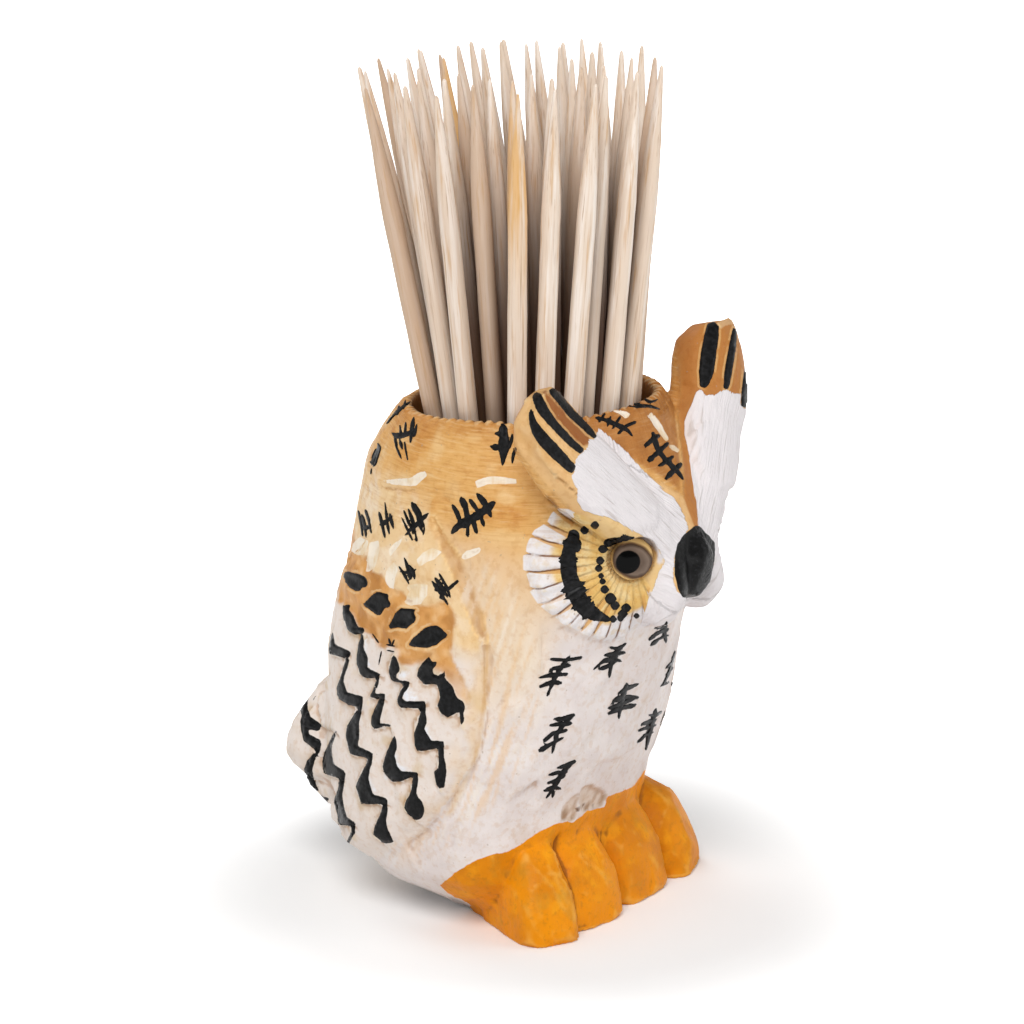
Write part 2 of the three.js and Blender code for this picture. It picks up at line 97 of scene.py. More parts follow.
def to_pixels(points):
    right, down, _ = seen_from_camera(points)
    return np.stack([right + CENTRE[0], down + CENTRE[1]], -1)


def pixel_way(x, y):
    way = -BACK + RIGHT * ((x - CENTRE[0]) / FOCAL) - UP * ((y - CENTRE[1]) / FOCAL)
    return way / np.linalg.norm(way)


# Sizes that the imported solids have.
# The wing's front edge: degrees round from the owl's front, at each height.
EDGE_HEIGHTS = [2, 6.6, 10.8, 15.2, 20, 25, 31.6, 37.9, 42.6]
EDGE_TURNS = [150, 122, 99, 86, 76, 73, 75, 84, 97]
BORE_RADIUS = 11.9
BORE_FLOOR = 21.2
TOP = 52.6
EYE_AT = np.array([-7.744, -16.458, 39.704])
EYE_OUT = np.array([-0.61345, -0.78971, 0.00633])
BEAK_AT = np.array([0.0, -18.3, 37.7])
BEAK_REACH = np.array([2.6, 2.2, 3.5])
HEAD_HALF, HEAD_AHEAD = 13.8, 19.2
BROW_SHARES = np.array([
    [0.136, 0.995, 0.73], [0.237, 0.99, 0.772], [0.452, 0.945, 0.83], [0.7, 0.865, 0.897],
    [0.97, 0.77, 0.975], [1.12, 0.69, 1.04], [1.18, 0.65, 1.08], [1.19, 0.635, 1.104],
])
BROW_LINE = BROW_SHARES * np.array([-HEAD_HALF, -HEAD_AHEAD, TOP])
RAYS = 36  # feathers round each disc
SKIN_GRAIN = 0.33  # side of the skin's faces
INSET = 0.002  # how far everything stays inside the solids' box
DEEPEST_CUT = 0.5  # the most that a knife facet takes away
AT_ONCE = 4000  # points dealt with together, to save memory
OUTSIDE = -3.0  # the distance that is written wherever an outline is farther away than that
CHIP_GROWTH = 0.1  # how far each pale chip reaches past its drawn outline
PLAIN_RATIO = 0.77  # the skin's faces that are left when its plain parts are thinned
TOE_LIST = [
    (-0.38, 0.94, -0.52, 0.7, 0.94), (-0.17, 0.89, -0.14, 0.95, 1), (0.31, 0.85, 0.03, 1, 1),
    (0.7, 0.84, 0.36, 0.86, 0.84),
]
TOE_ROWS = np.array([
    [-0.1, 0.76, 0.7], [0.25, 1, 0.86], [0.48, 1.06, 0.97], [0.7, 0.93, 1], [0.86, 0.66, 0.97],
    [0.96, 0.4, 0.82], [1, 0.22, 0.54],
])
TORSO_HALF, FOOT_REACH, FOOT_HEIGHT, TOE_HALF = 17.3, 12.6, 10.4, 4.7


def linear(hex_colour):
    """A colour written as sRGB, in Blender's linear values."""
    parts = [int(hex_colour[i:i + 2], 16) / 255 for i in (1, 3, 5)]
    return tuple(c / 12.92 if c <= 0.04045 else ((c + 0.055) / 1.055) ** 2.4 for c in parts)


def smooth(low, high, value):
    t = np.clip((value - low) / (high - low), 0, 1)
    return t * t * (3 - 2 * t)


# Meshes

def select_only(obj):
    bpy.ops.object.select_all(action="DESELECT")
    obj.select_set(True)
    bpy.context.view_layer.objects.active = obj


def new_object(name, points, faces, material=None):
    mesh = bpy.data.meshes.new(name)
    mesh.from_pydata([tuple(p * MM) for p in points], [], faces)
    mesh.update()
    obj = bpy.data.objects.new(name, mesh)
    bpy.context.scene.collection.objects.link(obj)
    if material:
        mesh.materials.append(material)
    mesh.shade_smooth()
    return obj


def round_faces(rows, sides):
    """Faces between rows of points round an axis, with both ends closed."""
    faces = []
    for r in range(rows - 1):
        for k in range(sides):
            a, b = r * sides + k, r * sides + (k + 1) % sides
            faces.append((a, b, b + sides, a + sides))
    faces.append(tuple((rows - 1) * sides + k for k in range(sides)))
    faces.append(tuple(reversed(range(sides))))
    return faces


def read_points(obj):
    out = np.empty(len(obj.data.vertices) * 3, np.float32)
    obj.data.vertices.foreach_get("co", out)
    return out.reshape(-1, 3).astype(float) / MM


def write_points(obj, points):
    obj.data.vertices.foreach_set("co", (points * MM).astype(np.float32).ravel())
    obj.data.update()


def read_normals(obj):
    out = np.empty(len(obj.data.vertices) * 3, np.float32)
    obj.data.vertices.foreach_get("normal", out)
    return out.reshape(-1, 3).astype(float)


def read_edges(obj):
    out = np.empty(len(obj.data.edges) * 2, np.int32)
    obj.data.edges.foreach_get("vertices", out)
    return out.reshape(-1, 2)


def write_value(obj, name, values):
    layer = obj.data.attributes.new(name, "FLOAT", "POINT")
    layer.data.foreach_set("value", values.astype(np.float32))


def write_vector(obj, name, values):
    layer = obj.data.attributes.new(name, "FLOAT_VECTOR", "POINT")
    layer.data.foreach_set("vector", values.astype(np.float32).ravel())


def write_colour(obj, name, values):
    layer = obj.data.color_attributes.new(name, "FLOAT_COLOR", "POINT")
    rgba = np.concatenate([values, np.ones((len(values), 1))], 1)
    layer.data.foreach_set("color", rgba.astype(np.float32).ravel())


def tree_of(obj):
    """A search tree of a mesh, in millimetres."""
    points = read_points(obj)
    obj.data.calc_loop_triangles()
    tris = np.empty(len(obj.data.loop_triangles) * 3, np.int32)
    obj.data.loop_triangles.foreach_get("vertices", tris)
    return BVHTree.FromPolygons([tuple(p) for p in points], tris.reshape(-1, 3).tolist())


def neighbour_mean(values, edges, counts):
    total = np.zeros_like(values)
    np.add.at(total, edges[:, 0], values[edges[:, 1]])
    np.add.at(total, edges[:, 1], values[edges[:, 0]])
    return total / (counts if values.ndim == 1 else counts[:, None])


def noise(points, size, seed):
    """Smooth value noise, -1 to 1, of features about size wide."""
    table = np.random.RandomState(seed).rand(4096) * 2 - 1
    at = points / size
    cell = np.floor(at).astype(np.int64)
    f = at - cell
    f = f * f * (3 - 2 * f)
    total = 0
    for dx in (0, 1):
        for dy in (0, 1):
            for dz in (0, 1):
                key = (
                    cell[:, 0] + dx
                ) * 73856093 ^ (cell[:, 1] + dy) * 19349663 ^ (cell[:, 2] + dz) * 83492791
                weight = (
                    (f[:, 0] if dx else 1 - f[:, 0])
                    * (f[:, 1] if dy else 1 - f[:, 1])
                    * (f[:, 2] if dz else 1 - f[:, 2])
                )
                total = total + weight * table[key % 4096]
    return total


def line_distance(points, line, reach=8.0):
    """Distance to a polyline, share of its length, and the nearest piece, where it is near."""
    best = np.full(len(points), 1e9)
    share = np.zeros(len(points))
    piece = np.zeros(len(points), np.int32)
    spans = np.linalg.norm(np.diff(line, axis=0), axis=1)
    start = np.concatenate([[0], np.cumsum(spans)])
    low, high = line.min(0) - reach, line.max(0) + reach
    near = np.nonzero(((points > low) & (points < high)).all(1))[0]
    sub = points[near]
    for i, span in enumerate(spans):
        a, b = line[i], line[i + 1]
        t = np.clip(((sub - a) @ (b - a)) / max(span * span, 1e-9), 0, 1)
        d = np.linalg.norm(sub - (a + t[:, None] * (b - a)), axis=1)
        closer = d < best[near]
        index = near[closer]
        best[index] = d[closer]
        share[index] = (start[i] + t[closer] * span) / start[-1]
        piece[index] = i
    return best, share, piece


def polygon_distance(points, corners):
    """Signed distance in a plane: positive inside."""
    corners = np.asarray(corners, float)
    following = np.roll(corners, -1, 0)
    best = np.full(len(points), 1e9)
    inside = np.zeros(len(points), bool)
    for a, b in zip(corners, following):
        t = np.clip(((points - a) @ (b - a)) / max((b - a) @ (b - a), 1e-9), 0, 1)
        best = np.minimum(best, np.linalg.norm(points - (a + t[:, None] * (b - a)), axis=1))
        crosses = (a[1] > points[:, 1]) != (b[1] > points[:, 1])
        rise = b[1] - a[1] if b[1] != a[1] else 1e-9
        at = a[0] + (points[:, 1] - a[1]) * (b[0] - a[0]) / rise
        inside ^= crosses & (points[:, 0] < at)
    return np.where(inside, best, -best)


def resample(rows, step):
    rows = np.array(rows, float)
    spans = np.linalg.norm(np.diff(rows[:, :2], axis=0), axis=1)
    start = np.concatenate([[0], np.cumsum(spans)])
    count = max(3, int(start[-1] / step) + 1)
    at = np.linspace(0, start[-1], count)
    return np.stack([np.interp(at, start, rows[:, k]) for k in range(rows.shape[1])], -1)


def smooth_rows(rows, rounds=1):
    """Rounds the corners of a traced line a little."""
    rows = np.array(rows, float)
    for _ in range(rounds):
        inner = rows.copy()
        inner[1:-1] = 0.25 * rows[:-2] + 0.5 * rows[1:-1] + 0.25 * rows[2:]
        rows = inner
    return rows


# Drawings, traced over the photograph in enlarged crops: (x, y) or (x, y, half width).

def from_crop(scale, left, top, rows):
    """Rows in a crop's pixels, as rows in the picture's pixels."""
    out = []
    for row in rows:
        out.append((left + row[0] / scale, top + row[1] / scale) + tuple(v / scale for v in row[2:]))
    return out


def side_crop(rows):
    return from_crop(3.5636, 280, 420, rows)


def back_crop(rows):
    return from_crop(5.6, 340, 370, rows)


def head_crop(rows):
    return from_crop(4.6118, 500, 300, rows)


def foot_crop(rows):
    return from_crop(4.6118, 420, 620, rows)


def wing_close(rows):
    return from_crop(5.5556, 300, 590, rows)


def tail_close(rows):
    return from_crop(5.5556, 284, 700, rows)


def nape_close(rows):
    return from_crop(5.5556, 338, 395, rows)


def shoulder_close(rows):
    return from_crop(6.25, 330, 480, rows)


def face_close(rows):
    return from_crop(5.0, 545, 440, rows)


def ear_close(rows):
    return from_crop(5.5556, 500, 370, rows)


def disc_close(rows):
    return from_crop(6.25, 505, 495, rows)


def belly_close(rows):
    return from_crop(5.0, 535, 615, rows)


def feet_close(rows):
    return from_crop(3.5714, 440, 760, rows)


# The lower left edge of each column of wing feathers: rows on the wing, then rows on the tail.
FEATHER_EDGES = [
    (
        [],
        [
            (130, 60), (92, 120), (100, 180), (108, 228), (170, 272), (190, 277), (165, 300), (130, 340),
            (112, 385), (125, 430), (150, 480), (185, 510),
        ],
    ),
    (
        [(150, 485), (102, 575), (78, 630), (98, 700), (106, 762), (190, 782)],
        [
            (285, 178), (250, 240), (222, 295), (215, 350), (222, 405), (312, 435), (308, 465), (300, 510),
            (278, 560), (300, 630), (308, 692), (380, 697), (378, 740), (352, 798),
        ],
    ),
    (
        [
            (183, 238), (165, 330), (165, 352), (250, 378), (262, 362), (240, 440), (204, 546), (216, 604),
            (326, 650), (322, 658),
        ],
        [
            (412, 48), (385, 90), (350, 150), (345, 205), (370, 298), (465, 322), (468, 345), (440, 390),
            (400, 480), (430, 575), (550, 578), (545, 610), (530, 650), (495, 745), (560, 795),
        ],
    ),
    (
        [
            (245, 100), (250, 160), (262, 215), (295, 245), (345, 245), (325, 310), (315, 400), (335, 465),
            (360, 488), (432, 482), (412, 548), (390, 592), (450, 600), (425, 660), (400, 705), (395, 745),
            (412, 772), (505, 756),
        ],
        [
            (610, 205), (590, 250), (565, 310), (550, 370), (600, 450), (650, 450), (722, 415), (710, 480),
            (680, 560), (670, 600), (690, 630), (730, 665),
        ],
    ),
    (
        [
            (515, 365), (500, 420), (495, 460), (512, 502), (590, 516), (560, 560), (538, 620), (560, 652),
            (670, 657), (685, 640), (668, 690), (640, 740), (635, 800), (650, 892), (740, 882), (775, 870),
            (765, 900), (770, 940),
        ],
        [(860, 260), (860, 320), (860, 380), (835, 400), (845, 460), (860, 492)],
    ),
    (
        [
            (716, 374), (690, 398), (665, 430), (650, 475), (690, 522), (760, 522), (778, 560), (780, 600),
            (765, 640), (780, 680), (820, 705), (885, 675), (895, 745),
        ],
        [],
    ),
]
WING_BLACK = [
    [
        (240, 88), (262, 84), (282, 80), (270, 110), (298, 150), (318, 200), (300, 210), (355, 208),
        (360, 225), (340, 240), (295, 245), (262, 215), (248, 160), (240, 110),
    ],
    [
        (183, 238), (190, 290), (196, 306), (278, 342), (270, 362), (250, 376), (165, 352), (161, 325),
        (172, 270),
    ],
    [
        (266, 362), (281, 350), (264, 425), (244, 478), (241, 515), (262, 570), (348, 594), (344, 620),
        (326, 650), (270, 636), (216, 604), (204, 546), (222, 500), (240, 440),
    ],
    [
        (345, 243), (354, 270), (350, 320), (375, 380), (374, 430), (390, 442), (441, 468), (432, 530),
        (420, 562), (403, 578), (470, 578), (471, 592), (462, 645), (447, 700), (441, 742), (505, 749),
        (505, 756), (440, 762), (412, 773), (395, 745), (400, 702), (417, 662), (440, 612), (452, 598),
        (392, 595), (390, 588), (411, 548), (429, 486), (360, 489), (335, 466), (315, 400), (325, 310),
    ],
    [
        (515, 363), (532, 375), (546, 412), (555, 448), (530, 470), (530, 488), (560, 500), (606, 510),
        (600, 545), (578, 570), (566, 600), (582, 620), (692, 620), (690, 637), (670, 656), (560, 652),
        (538, 620), (550, 588), (560, 560), (580, 530), (560, 514), (512, 503), (495, 460), (501, 420),
    ],
    [
        (716, 373), (727, 390), (722, 405), (759, 398), (750, 425), (735, 440), (738, 466), (770, 480),
        (804, 452), (802, 492), (850, 540), (858, 575), (872, 602), (906, 618), (915, 650), (905, 690),
        (912, 725), (895, 748), (890, 700), (885, 672), (820, 706), (780, 681), (765, 640), (781, 600),
        (776, 560), (760, 521), (690, 523), (650, 475), (665, 430), (690, 398),
    ],
    [
        (680, 640), (696, 632), (696, 680), (702, 735), (690, 770), (706, 805), (728, 838), (796, 842),
        (797, 862), (780, 871), (740, 882), (656, 895), (640, 868), (635, 800), (656, 742), (668, 690),
    ],
]
TAIL_BLACK = [
    [
        (130, 58), (141, 72), (130, 112), (138, 192), (206, 226), (206, 245), (195, 290), (168, 338),
        (156, 380), (160, 430), (190, 500), (176, 508), (150, 480), (125, 430), (112, 385), (130, 340),
        (165, 298), (186, 276), (170, 271), (110, 226), (100, 180), (92, 120), (102, 85),
    ],
    [
        (157, -125), (167, -120), (152, -80), (138, -30), (127, 25), (138, 90), (208, 138), (192, 172),
        (110, 152), (102, 90), (82, 20), (84, -10), (106, -36), (134, -90),
    ],
    [
        (280, 178), (293, 168), (280, 212), (264, 250), (264, 305), (276, 358), (343, 402), (335, 440),
        (328, 490), (320, 530), (332, 600), (347, 652), (396, 685), (392, 740), (376, 765), (357, 800),
        (350, 795), (360, 765), (377, 738), (374, 697), (308, 691), (300, 640), (278, 560), (300, 505),
        (312, 436), (220, 405), (215, 350), (223, 300), (250, 242),
    ],
    [
        (425, 0), (436, 0), (432, 45), (424, 90), (414, 135), (416, 200), (404, 256), (491, 296),
        (488, 340), (474, 390), (468, 440), (484, 505), (498, 528), (573, 550), (573, 620), (566, 660),
        (570, 710), (606, 785), (600, 792), (560, 796), (495, 745), (510, 692), (530, 650), (545, 612),
        (552, 577), (430, 576), (415, 522), (400, 480), (420, 432), (445, 382), (468, 342), (465, 322),
        (370, 299), (345, 205), (350, 150), (385, 90), (412, 50),
    ],
    [
        (610, 200), (622, 218), (626, 262), (612, 310), (624, 362), (650, 398), (742, 401), (743, 450),
        (736, 500), (732, 536), (762, 555), (777, 600), (772, 640), (760, 657), (730, 666), (690, 632),
        (670, 600), (680, 560), (702, 525), (712, 480), (720, 420), (650, 451), (600, 451), (555, 400),
        (550, 370), (566, 308), (590, 250),
    ],
    [
        (858, 262), (886, 238), (887, 310), (896, 360), (901, 402), (888, 482), (860, 491), (845, 460),
        (835, 400), (860, 380), (862, 320),
    ],
]
# Painted highlights: bright bluish-white patches beside the black, standing for lamp light reflected in
# varnish pooled there.
WING_PAINTED_HIGHLIGHTS = [
    [(575, 560), (605, 535), (612, 570), (664, 600), (640, 614), (590, 612), (572, 600)],
    [(678, 772), (700, 760), (716, 800), (737, 822), (728, 836), (706, 835), (690, 810)],
    [(556, 462), (590, 448), (606, 468), (592, 488), (548, 478)],
    [(362, 268), (372, 300), (380, 400), (426, 448), (402, 455), (372, 405), (356, 320)],
    [(820, 540), (845, 570), (862, 608), (850, 612), (828, 580)],
]
TAIL_PAINTED_HIGHLIGHTS = [
    [(612, 300), (628, 312), (640, 360), (702, 394), (664, 404), (625, 380), (606, 340)],
    [(476, 430), (498, 480), (532, 522), (500, 522), (474, 480)],
    [(556, 398), (575, 420), (592, 446), (560, 432)],
    [(400, 150), (412, 160), (404, 220), (396, 230)],
]
SMALL_MARKS = [
    [(330, 762, 3.2), (352, 795, 2)],
    [(388, 778, 3), (394, 800, 4)],
    [(408, 782, 3), (398, 804, 4)],
    [(380, 800, 3), (410, 806, 3)],
    [(382, 820, 2.4), (408, 826, 2)],
    [(362, 824, 1.6), (352, 872, 1.6)],
]
SHOULDER_SPOTS = [
    [
        (85, 575), (115, 570), (175, 585), (215, 605), (240, 650), (225, 670), (200, 675), (190, 692),
        (165, 697), (120, 670), (90, 635), (82, 600),
    ],
    [
        (210, 770), (240, 745), (275, 710), (290, 698), (345, 708), (362, 715), (365, 745), (383, 770),
        (375, 795), (345, 800), (318, 845), (295, 845), (250, 810), (215, 785),
    ],
    [
        (357, 930), (385, 880), (410, 830), (440, 800), (535, 808), (520, 835), (540, 860), (530, 890),
        (495, 915), (480, 932), (420, 922), (375, 932),
    ],
    [
        (484, 1038), (510, 997), (561, 952), (600, 918), (667, 907), (701, 929), (712, 952), (735, 957),
        (726, 982), (701, 997), (667, 1031), (600, 1053), (544, 1045),
    ],
]
# Feather marks: a spine and a few cross strokes each, row by row (x, y, half width).
NAPE_STROKES = [
    [(630, 770, 8), (668, 725, 20), (720, 705, 22), (780, 665, 22), (830, 630, 20), (872, 592, 8)],
    [(634, 608, 6), (660, 650, 11), (678, 700, 10)],
    [(682, 570, 9), (706, 615, 13), (722, 690, 12), (720, 785, 8)],
    [(730, 578, 6), (760, 620, 10), (790, 665, 10)],
    [(772, 548, 9), (808, 590, 14), (838, 640, 14), (850, 680, 7)],
    [(752, 700, 12), (770, 768, 9)],
    [(795, 680, 10), (812, 730, 6)],
    [(302, 212, 7), (325, 228, 12), (372, 222, 12), (425, 200, 12)],
    [(345, 168, 4), (352, 230, 9)],
    [(378, 152, 4), (372, 220, 8)],
    [(422, 125, 5), (412, 180, 12), (402, 262, 7)],
    [(438, 165, 5), (425, 225, 9)],
    [(318, 240, 10), (325, 290, 7), (352, 352, 4)],
    [(345, 255, 8), (358, 300, 5)],
    [(370, 262, 5), (378, 310, 5), (388, 362, 4)],
    [(222, 268, 4), (232, 290, 7), (206, 340, 9), (190, 385, 7)],
    [(238, 288, 5), (222, 340, 6), (205, 395, 3)],
    [(212, 300, 5), (190, 350, 6)],
    [(180, 370, 5), (200, 390, 5)],
    [(188, 408, 4), (183, 440, 3)],
    [(272, 160, 4), (320, 100, 9), (370, 60, 9), (400, 40, 6)],
    [(340, 60, 4), (330, 110, 6)],
    [(375, 30, 5), (365, 75, 5)],
    [(915, 160, 10), (918, 190, 22), (922, 240, 24), (920, 300, 22), (918, 350, 12), (914, 392, 5)],
    [(852, 288, 10), (890, 292, 16), (920, 280, 16)],
    [(880, 215, 10), (905, 210, 16)],
    [(970, 218, 6), (962, 262, 10), (940, 300, 12)],
    [(985, 300, 10), (972, 340, 8), (968, 380, 5)],
]
SHOULDER_STROKES = [
    [(178, 190, 4), (192, 250, 8), (205, 350, 5)],
    [(200, 215, 4), (215, 270, 10), (228, 358, 5)],
    [(222, 185, 6), (240, 240, 10), (258, 330, 6)],
    [(205, 300, 10), (240, 296, 14)],
    [(308, 200, 4), (325, 270, 10), (345, 362, 5)],
    [(345, 140, 4), (352, 210, 8), (362, 290, 8), (372, 340, 4)],
    [(375, 210, 6), (385, 260, 9), (398, 305, 4)],
    [(318, 280, 10), (350, 262, 13), (390, 225, 7)],
    [(448, 235, 3), (480, 300, 6), (515, 375, 6)],
    [(462, 190, 4), (485, 250, 7), (520, 330, 6)],
    [(490, 180, 4), (515, 250, 8), (545, 385, 6)],
    [(515, 145, 11), (540, 200, 13), (560, 260, 13), (575, 320, 6)],
    [(530, 145, 5), (560, 210, 8), (592, 300, 6), (582, 345, 4)],
    [(470, 345, 5), (520, 300, 10), (570, 250, 12), (615, 207, 6)],
    [(432, 540, 4), (465, 590, 9), (495, 650, 4)],
    [(465, 485, 4), (485, 540, 9), (505, 620, 8)],
    [(495, 530, 5), (520, 570, 8), (530, 620, 4)],
    [(440, 570, 5), (480, 580, 12), (535, 560, 6)],
    [(637, 630, 6), (670, 675, 9), (710, 735, 8), (738, 780, 4)],
    [(655, 610, 6), (690, 655, 9), (720, 700, 8), (735, 735, 5)],
    [(682, 585, 4), (705, 625, 9), (730, 670, 8), (752, 735, 4)],
    [(655, 690, 6), (700, 690, 13), (745, 680, 9), (775, 650, 9), (800, 632, 9)],
    [(690, 735, 9), (720, 690, 10)],
]
BELLY_STROKES = [
    [(175, 205, 6), (140, 250, 10), (100, 310, 10), (62, 402, 7)],
    [(75, 220, 6), (130, 225, 9), (180, 222, 6), (230, 212, 9)],
    [(80, 270, 9), (120, 262, 9), (178, 250, 7)],
    [(25, 312, 8), (80, 300, 9), (158, 296, 9)],
    [(28, 358, 9), (80, 335, 9), (132, 340, 8)],
    [(455, 140, 4), (420, 170, 11), (385, 215, 14), (370, 312, 4)],
    [(372, 160, 6), (410, 170, 8), (440, 150, 6)],
    [(345, 200, 6), (395, 195, 12), (445, 188, 9)],
    [(292, 272, 4), (345, 228, 9), (400, 220, 10), (432, 232, 6)],
    [(320, 272, 6), (360, 258, 9), (400, 235, 6)],
    [(660, 32, 6), (645, 80, 12), (655, 135, 7)],
    [(600, 65, 6), (640, 62, 8), (662, 45, 5)],
    [(570, 125, 7), (610, 90, 9), (665, 72, 8)],
    [(580, 150, 7), (620, 118, 8), (665, 100, 6)],
    [(700, 180, 4), (685, 230, 7), (668, 290, 8), (640, 345, 6)],
    [(655, 265, 5), (692, 228, 5)],
    [(655, 300, 6), (688, 262, 5)],
    [(628, 355, 5), (668, 335, 6)],
    [(460, 348, 10), (440, 400, 13), (425, 460, 12), (418, 518, 5)],
    [(415, 395, 6), (450, 370, 10), (515, 345, 6)],
    [(388, 432, 7), (440, 410, 11), (512, 412, 9)],
    [(368, 465, 7), (430, 445, 11), (505, 412, 6)],
    [(365, 495, 7), (420, 468, 10), (500, 450, 9)],
    [(190, 500, 9), (150, 540, 11), (110, 590, 11), (85, 690, 5)],
    [(95, 520, 6), (140, 520, 10), (195, 500, 9)],
    [(75, 552, 7), (120, 545, 10), (182, 542, 8)],
    [(45, 630, 11), (90, 590, 9), (158, 578, 8)],
    [(25, 678, 11), (70, 650, 9), (142, 612, 5)],
    [(605, 470, 6), (590, 520, 13), (570, 590, 15), (553, 675, 4)],
    [(570, 500, 6), (600, 505, 8), (632, 482, 5)],
    [(532, 548, 7), (580, 530, 10), (606, 520, 6)],
    [(520, 578, 7), (570, 560, 9), (602, 550, 6)],
    [(515, 635, 7), (550, 600, 9), (590, 585, 6)],
    [(190, 735, 7), (150, 775, 10), (110, 830, 11), (75, 890, 7), (55, 915, 5)],
    [(110, 765, 5), (150, 755, 8), (198, 732, 9)],
    [(72, 800, 6), (120, 785, 8), (158, 785, 6)],
    [(65, 840, 7), (105, 825, 9), (150, 802, 6)],
    [(48, 880, 8), (90, 860, 9), (128, 868, 7)],
    [(85, 912, 5), (95, 880, 6)],
]
FOREHEAD_STROKES = [
    [(540, -32, 10), (562, 46, 12), (603, 100, 13), (640, 135, 13), (668, 165, 11), (690, 196, 5)],
    [(500, 30, 9), (532, 2, 12), (567, -22, 10)],
    [(516, 106, 10), (560, 65, 12), (612, 18, 10)],
    [(570, 130, 9), (602, 110, 13), (638, 84, 9)],
    [(606, 192, 9), (640, 155, 14), (682, 118, 9)],
]
RIM_STROKES = [
    [(530, 266, 7), (570, 272, 10), (620, 292, 11), (670, 315, 12), (710, 335, 8), (735, 368, 4)],
    [(548, 292, 6), (582, 242, 8)],
    [(598, 310, 6), (612, 262, 8)],
    [(625, 325, 6), (668, 260, 8)],
    [(655, 355, 7), (700, 310, 12), (756, 288, 6)],
    [(664, 190, 7), (720, 195, 11), (780, 200, 10), (830, 200, 9), (888, 218, 4)],
    [(690, 165, 4), (728, 150, 7), (740, 185, 8)],
    [(745, 140, 4), (768, 165, 9), (775, 205, 6)],
    [(800, 155, 5), (825, 180, 9), (850, 175, 6), (875, 165, 4)],
    [(470, 240, 6), (510, 225, 9), (560, 205, 9), (615, 198, 6)],
    [(510, 240, 5), (540, 215, 6)],
]
CRESCENT = [
    (430, 252, 38), (424, 300, 40), (398, 345, 42), (395, 420, 52), (400, 500, 52), (425, 570, 54),
    (455, 640, 56), (500, 710, 54), (560, 745, 42), (620, 770, 24), (655, 780, 10),
]
DOTS = [
    (562, 188, 29), (497, 220, 30), (658, 292, 28), (612, 338, 34), (595, 410, 29), (585, 458, 26),
    (600, 505, 19), (610, 540, 22), (740, 284, 30), (700, 288, 20), (622, 590, 29), (660, 648, 40),
    (688, 690, 32), (756, 705, 34), (735, 742, 34), (722, 768, 24), (822, 755, 20), (675, 775, 24),
    (780, 275, 16),
]
LASH = [(640, 300, 26), (680, 286, 22), (720, 284, 20), (760, 280, 26), (804, 267, 8)]
NEAR_STRIPES = [
    [
        (270, 112), (290, 98), (314, 103), (338, 126), (360, 158), (388, 193), (412, 222), (444, 252),
        (474, 280), (502, 312), (526, 345), (538, 368), (530, 382), (512, 376), (480, 350), (450, 322),
        (416, 292), (384, 262), (354, 226), (326, 192), (296, 156), (276, 132),
    ],
    [
        (178, 150), (186, 130), (205, 120), (230, 133), (250, 173), (266, 208), (292, 248), (319, 286),
        (349, 320), (378, 350), (406, 382), (436, 410), (466, 436), (462, 454), (446, 468), (420, 450),
        (383, 420), (343, 382), (303, 340), (263, 298), (231, 263), (205, 229), (188, 188),
    ],
    [
        (162, 222), (172, 210), (183, 229), (193, 258), (211, 295), (243, 333), (281, 375), (321, 417),
        (349, 447), (383, 487), (407, 515), (420, 534), (415, 554), (400, 576), (378, 566), (326, 522),
        (284, 484), (246, 446), (211, 406), (178, 355), (163, 300), (158, 250),
    ],
]
DISC_OUTLINE = [
    (284, 126), (300, 100), (345, 92), (395, 96), (434, 118), (500, 138), (560, 150), (620, 172),
    (680, 202), (740, 232), (800, 262), (860, 300), (910, 340), (960, 380), (990, 404), (968, 430),
    (938, 480), (908, 560), (894, 620), (882, 700), (852, 770), (830, 826), (795, 838), (762, 852),
    (736, 882), (700, 902), (680, 906), (620, 902), (562, 897), (538, 874), (500, 868), (452, 836),
    (420, 817), (368, 802), (334, 768), (300, 742), (268, 718), (232, 690), (193, 636), (164, 590),
    (148, 530), (128, 470), (127, 400), (133, 340), (149, 284), (190, 224), (238, 196), (260, 178),
    (272, 150),
]
DISC_YELLOW = [
    (426, 80), (432, 150), (412, 200), (396, 250), (480, 330), (700, 330), (820, 262), (560, 120),
]
EAR_CHESTNUT = [
    (234, 120), (262, 110), (300, 158), (350, 220), (400, 272), (450, 320), (502, 368), (495, 412),
    (462, 436), (400, 384), (350, 330), (300, 266), (258, 200),
]
FAR_STRIPES = [
    [
        (955, 110), (985, 98), (1010, 118), (1008, 180), (998, 250), (985, 340), (962, 392), (945, 408),
        (920, 398), (917, 330), (925, 250), (937, 180),
    ],
    [
        (1074, 128), (1093, 134), (1091, 200), (1077, 300), (1062, 380), (1050, 416), (1030, 406),
        (1034, 330), (1050, 240), (1064, 170),
    ],
    [
        (1140, 262), (1160, 285), (1166, 330), (1160, 420), (1150, 500), (1110, 492), (1114, 420),
        (1124, 330), (1130, 290),
    ],
]
NEAR_WHITE = [
    (265, -58), (280, -52), (333, -8), (405, 55), (459, 118), (522, 181), (567, 226), (603, 262),
    (640, 282), (680, 340), (700, 390), (716, 440), (700, 475), (670, 520), (650, 565), (645, 640),
    (640, 695), (660, 760), (700, 780), (760, 765), (800, 757), (835, 745), (845, 755), (800, 800),
    (700, 832), (660, 862), (600, 888), (550, 920), (500, 932), (478, 920), (490, 880), (510, 830),
    (520, 790), (552, 720), (560, 680), (590, 625), (597, 600), (570, 550), (520, 520), (470, 472),
    (400, 432), (330, 392), (243, 370), (189, 352), (162, 307), (162, 244), (135, 208), (130, 181),
    (153, 145), (144, 118), (162, 82), (184, 64), (216, 37), (216, 1), (252, -12),
]
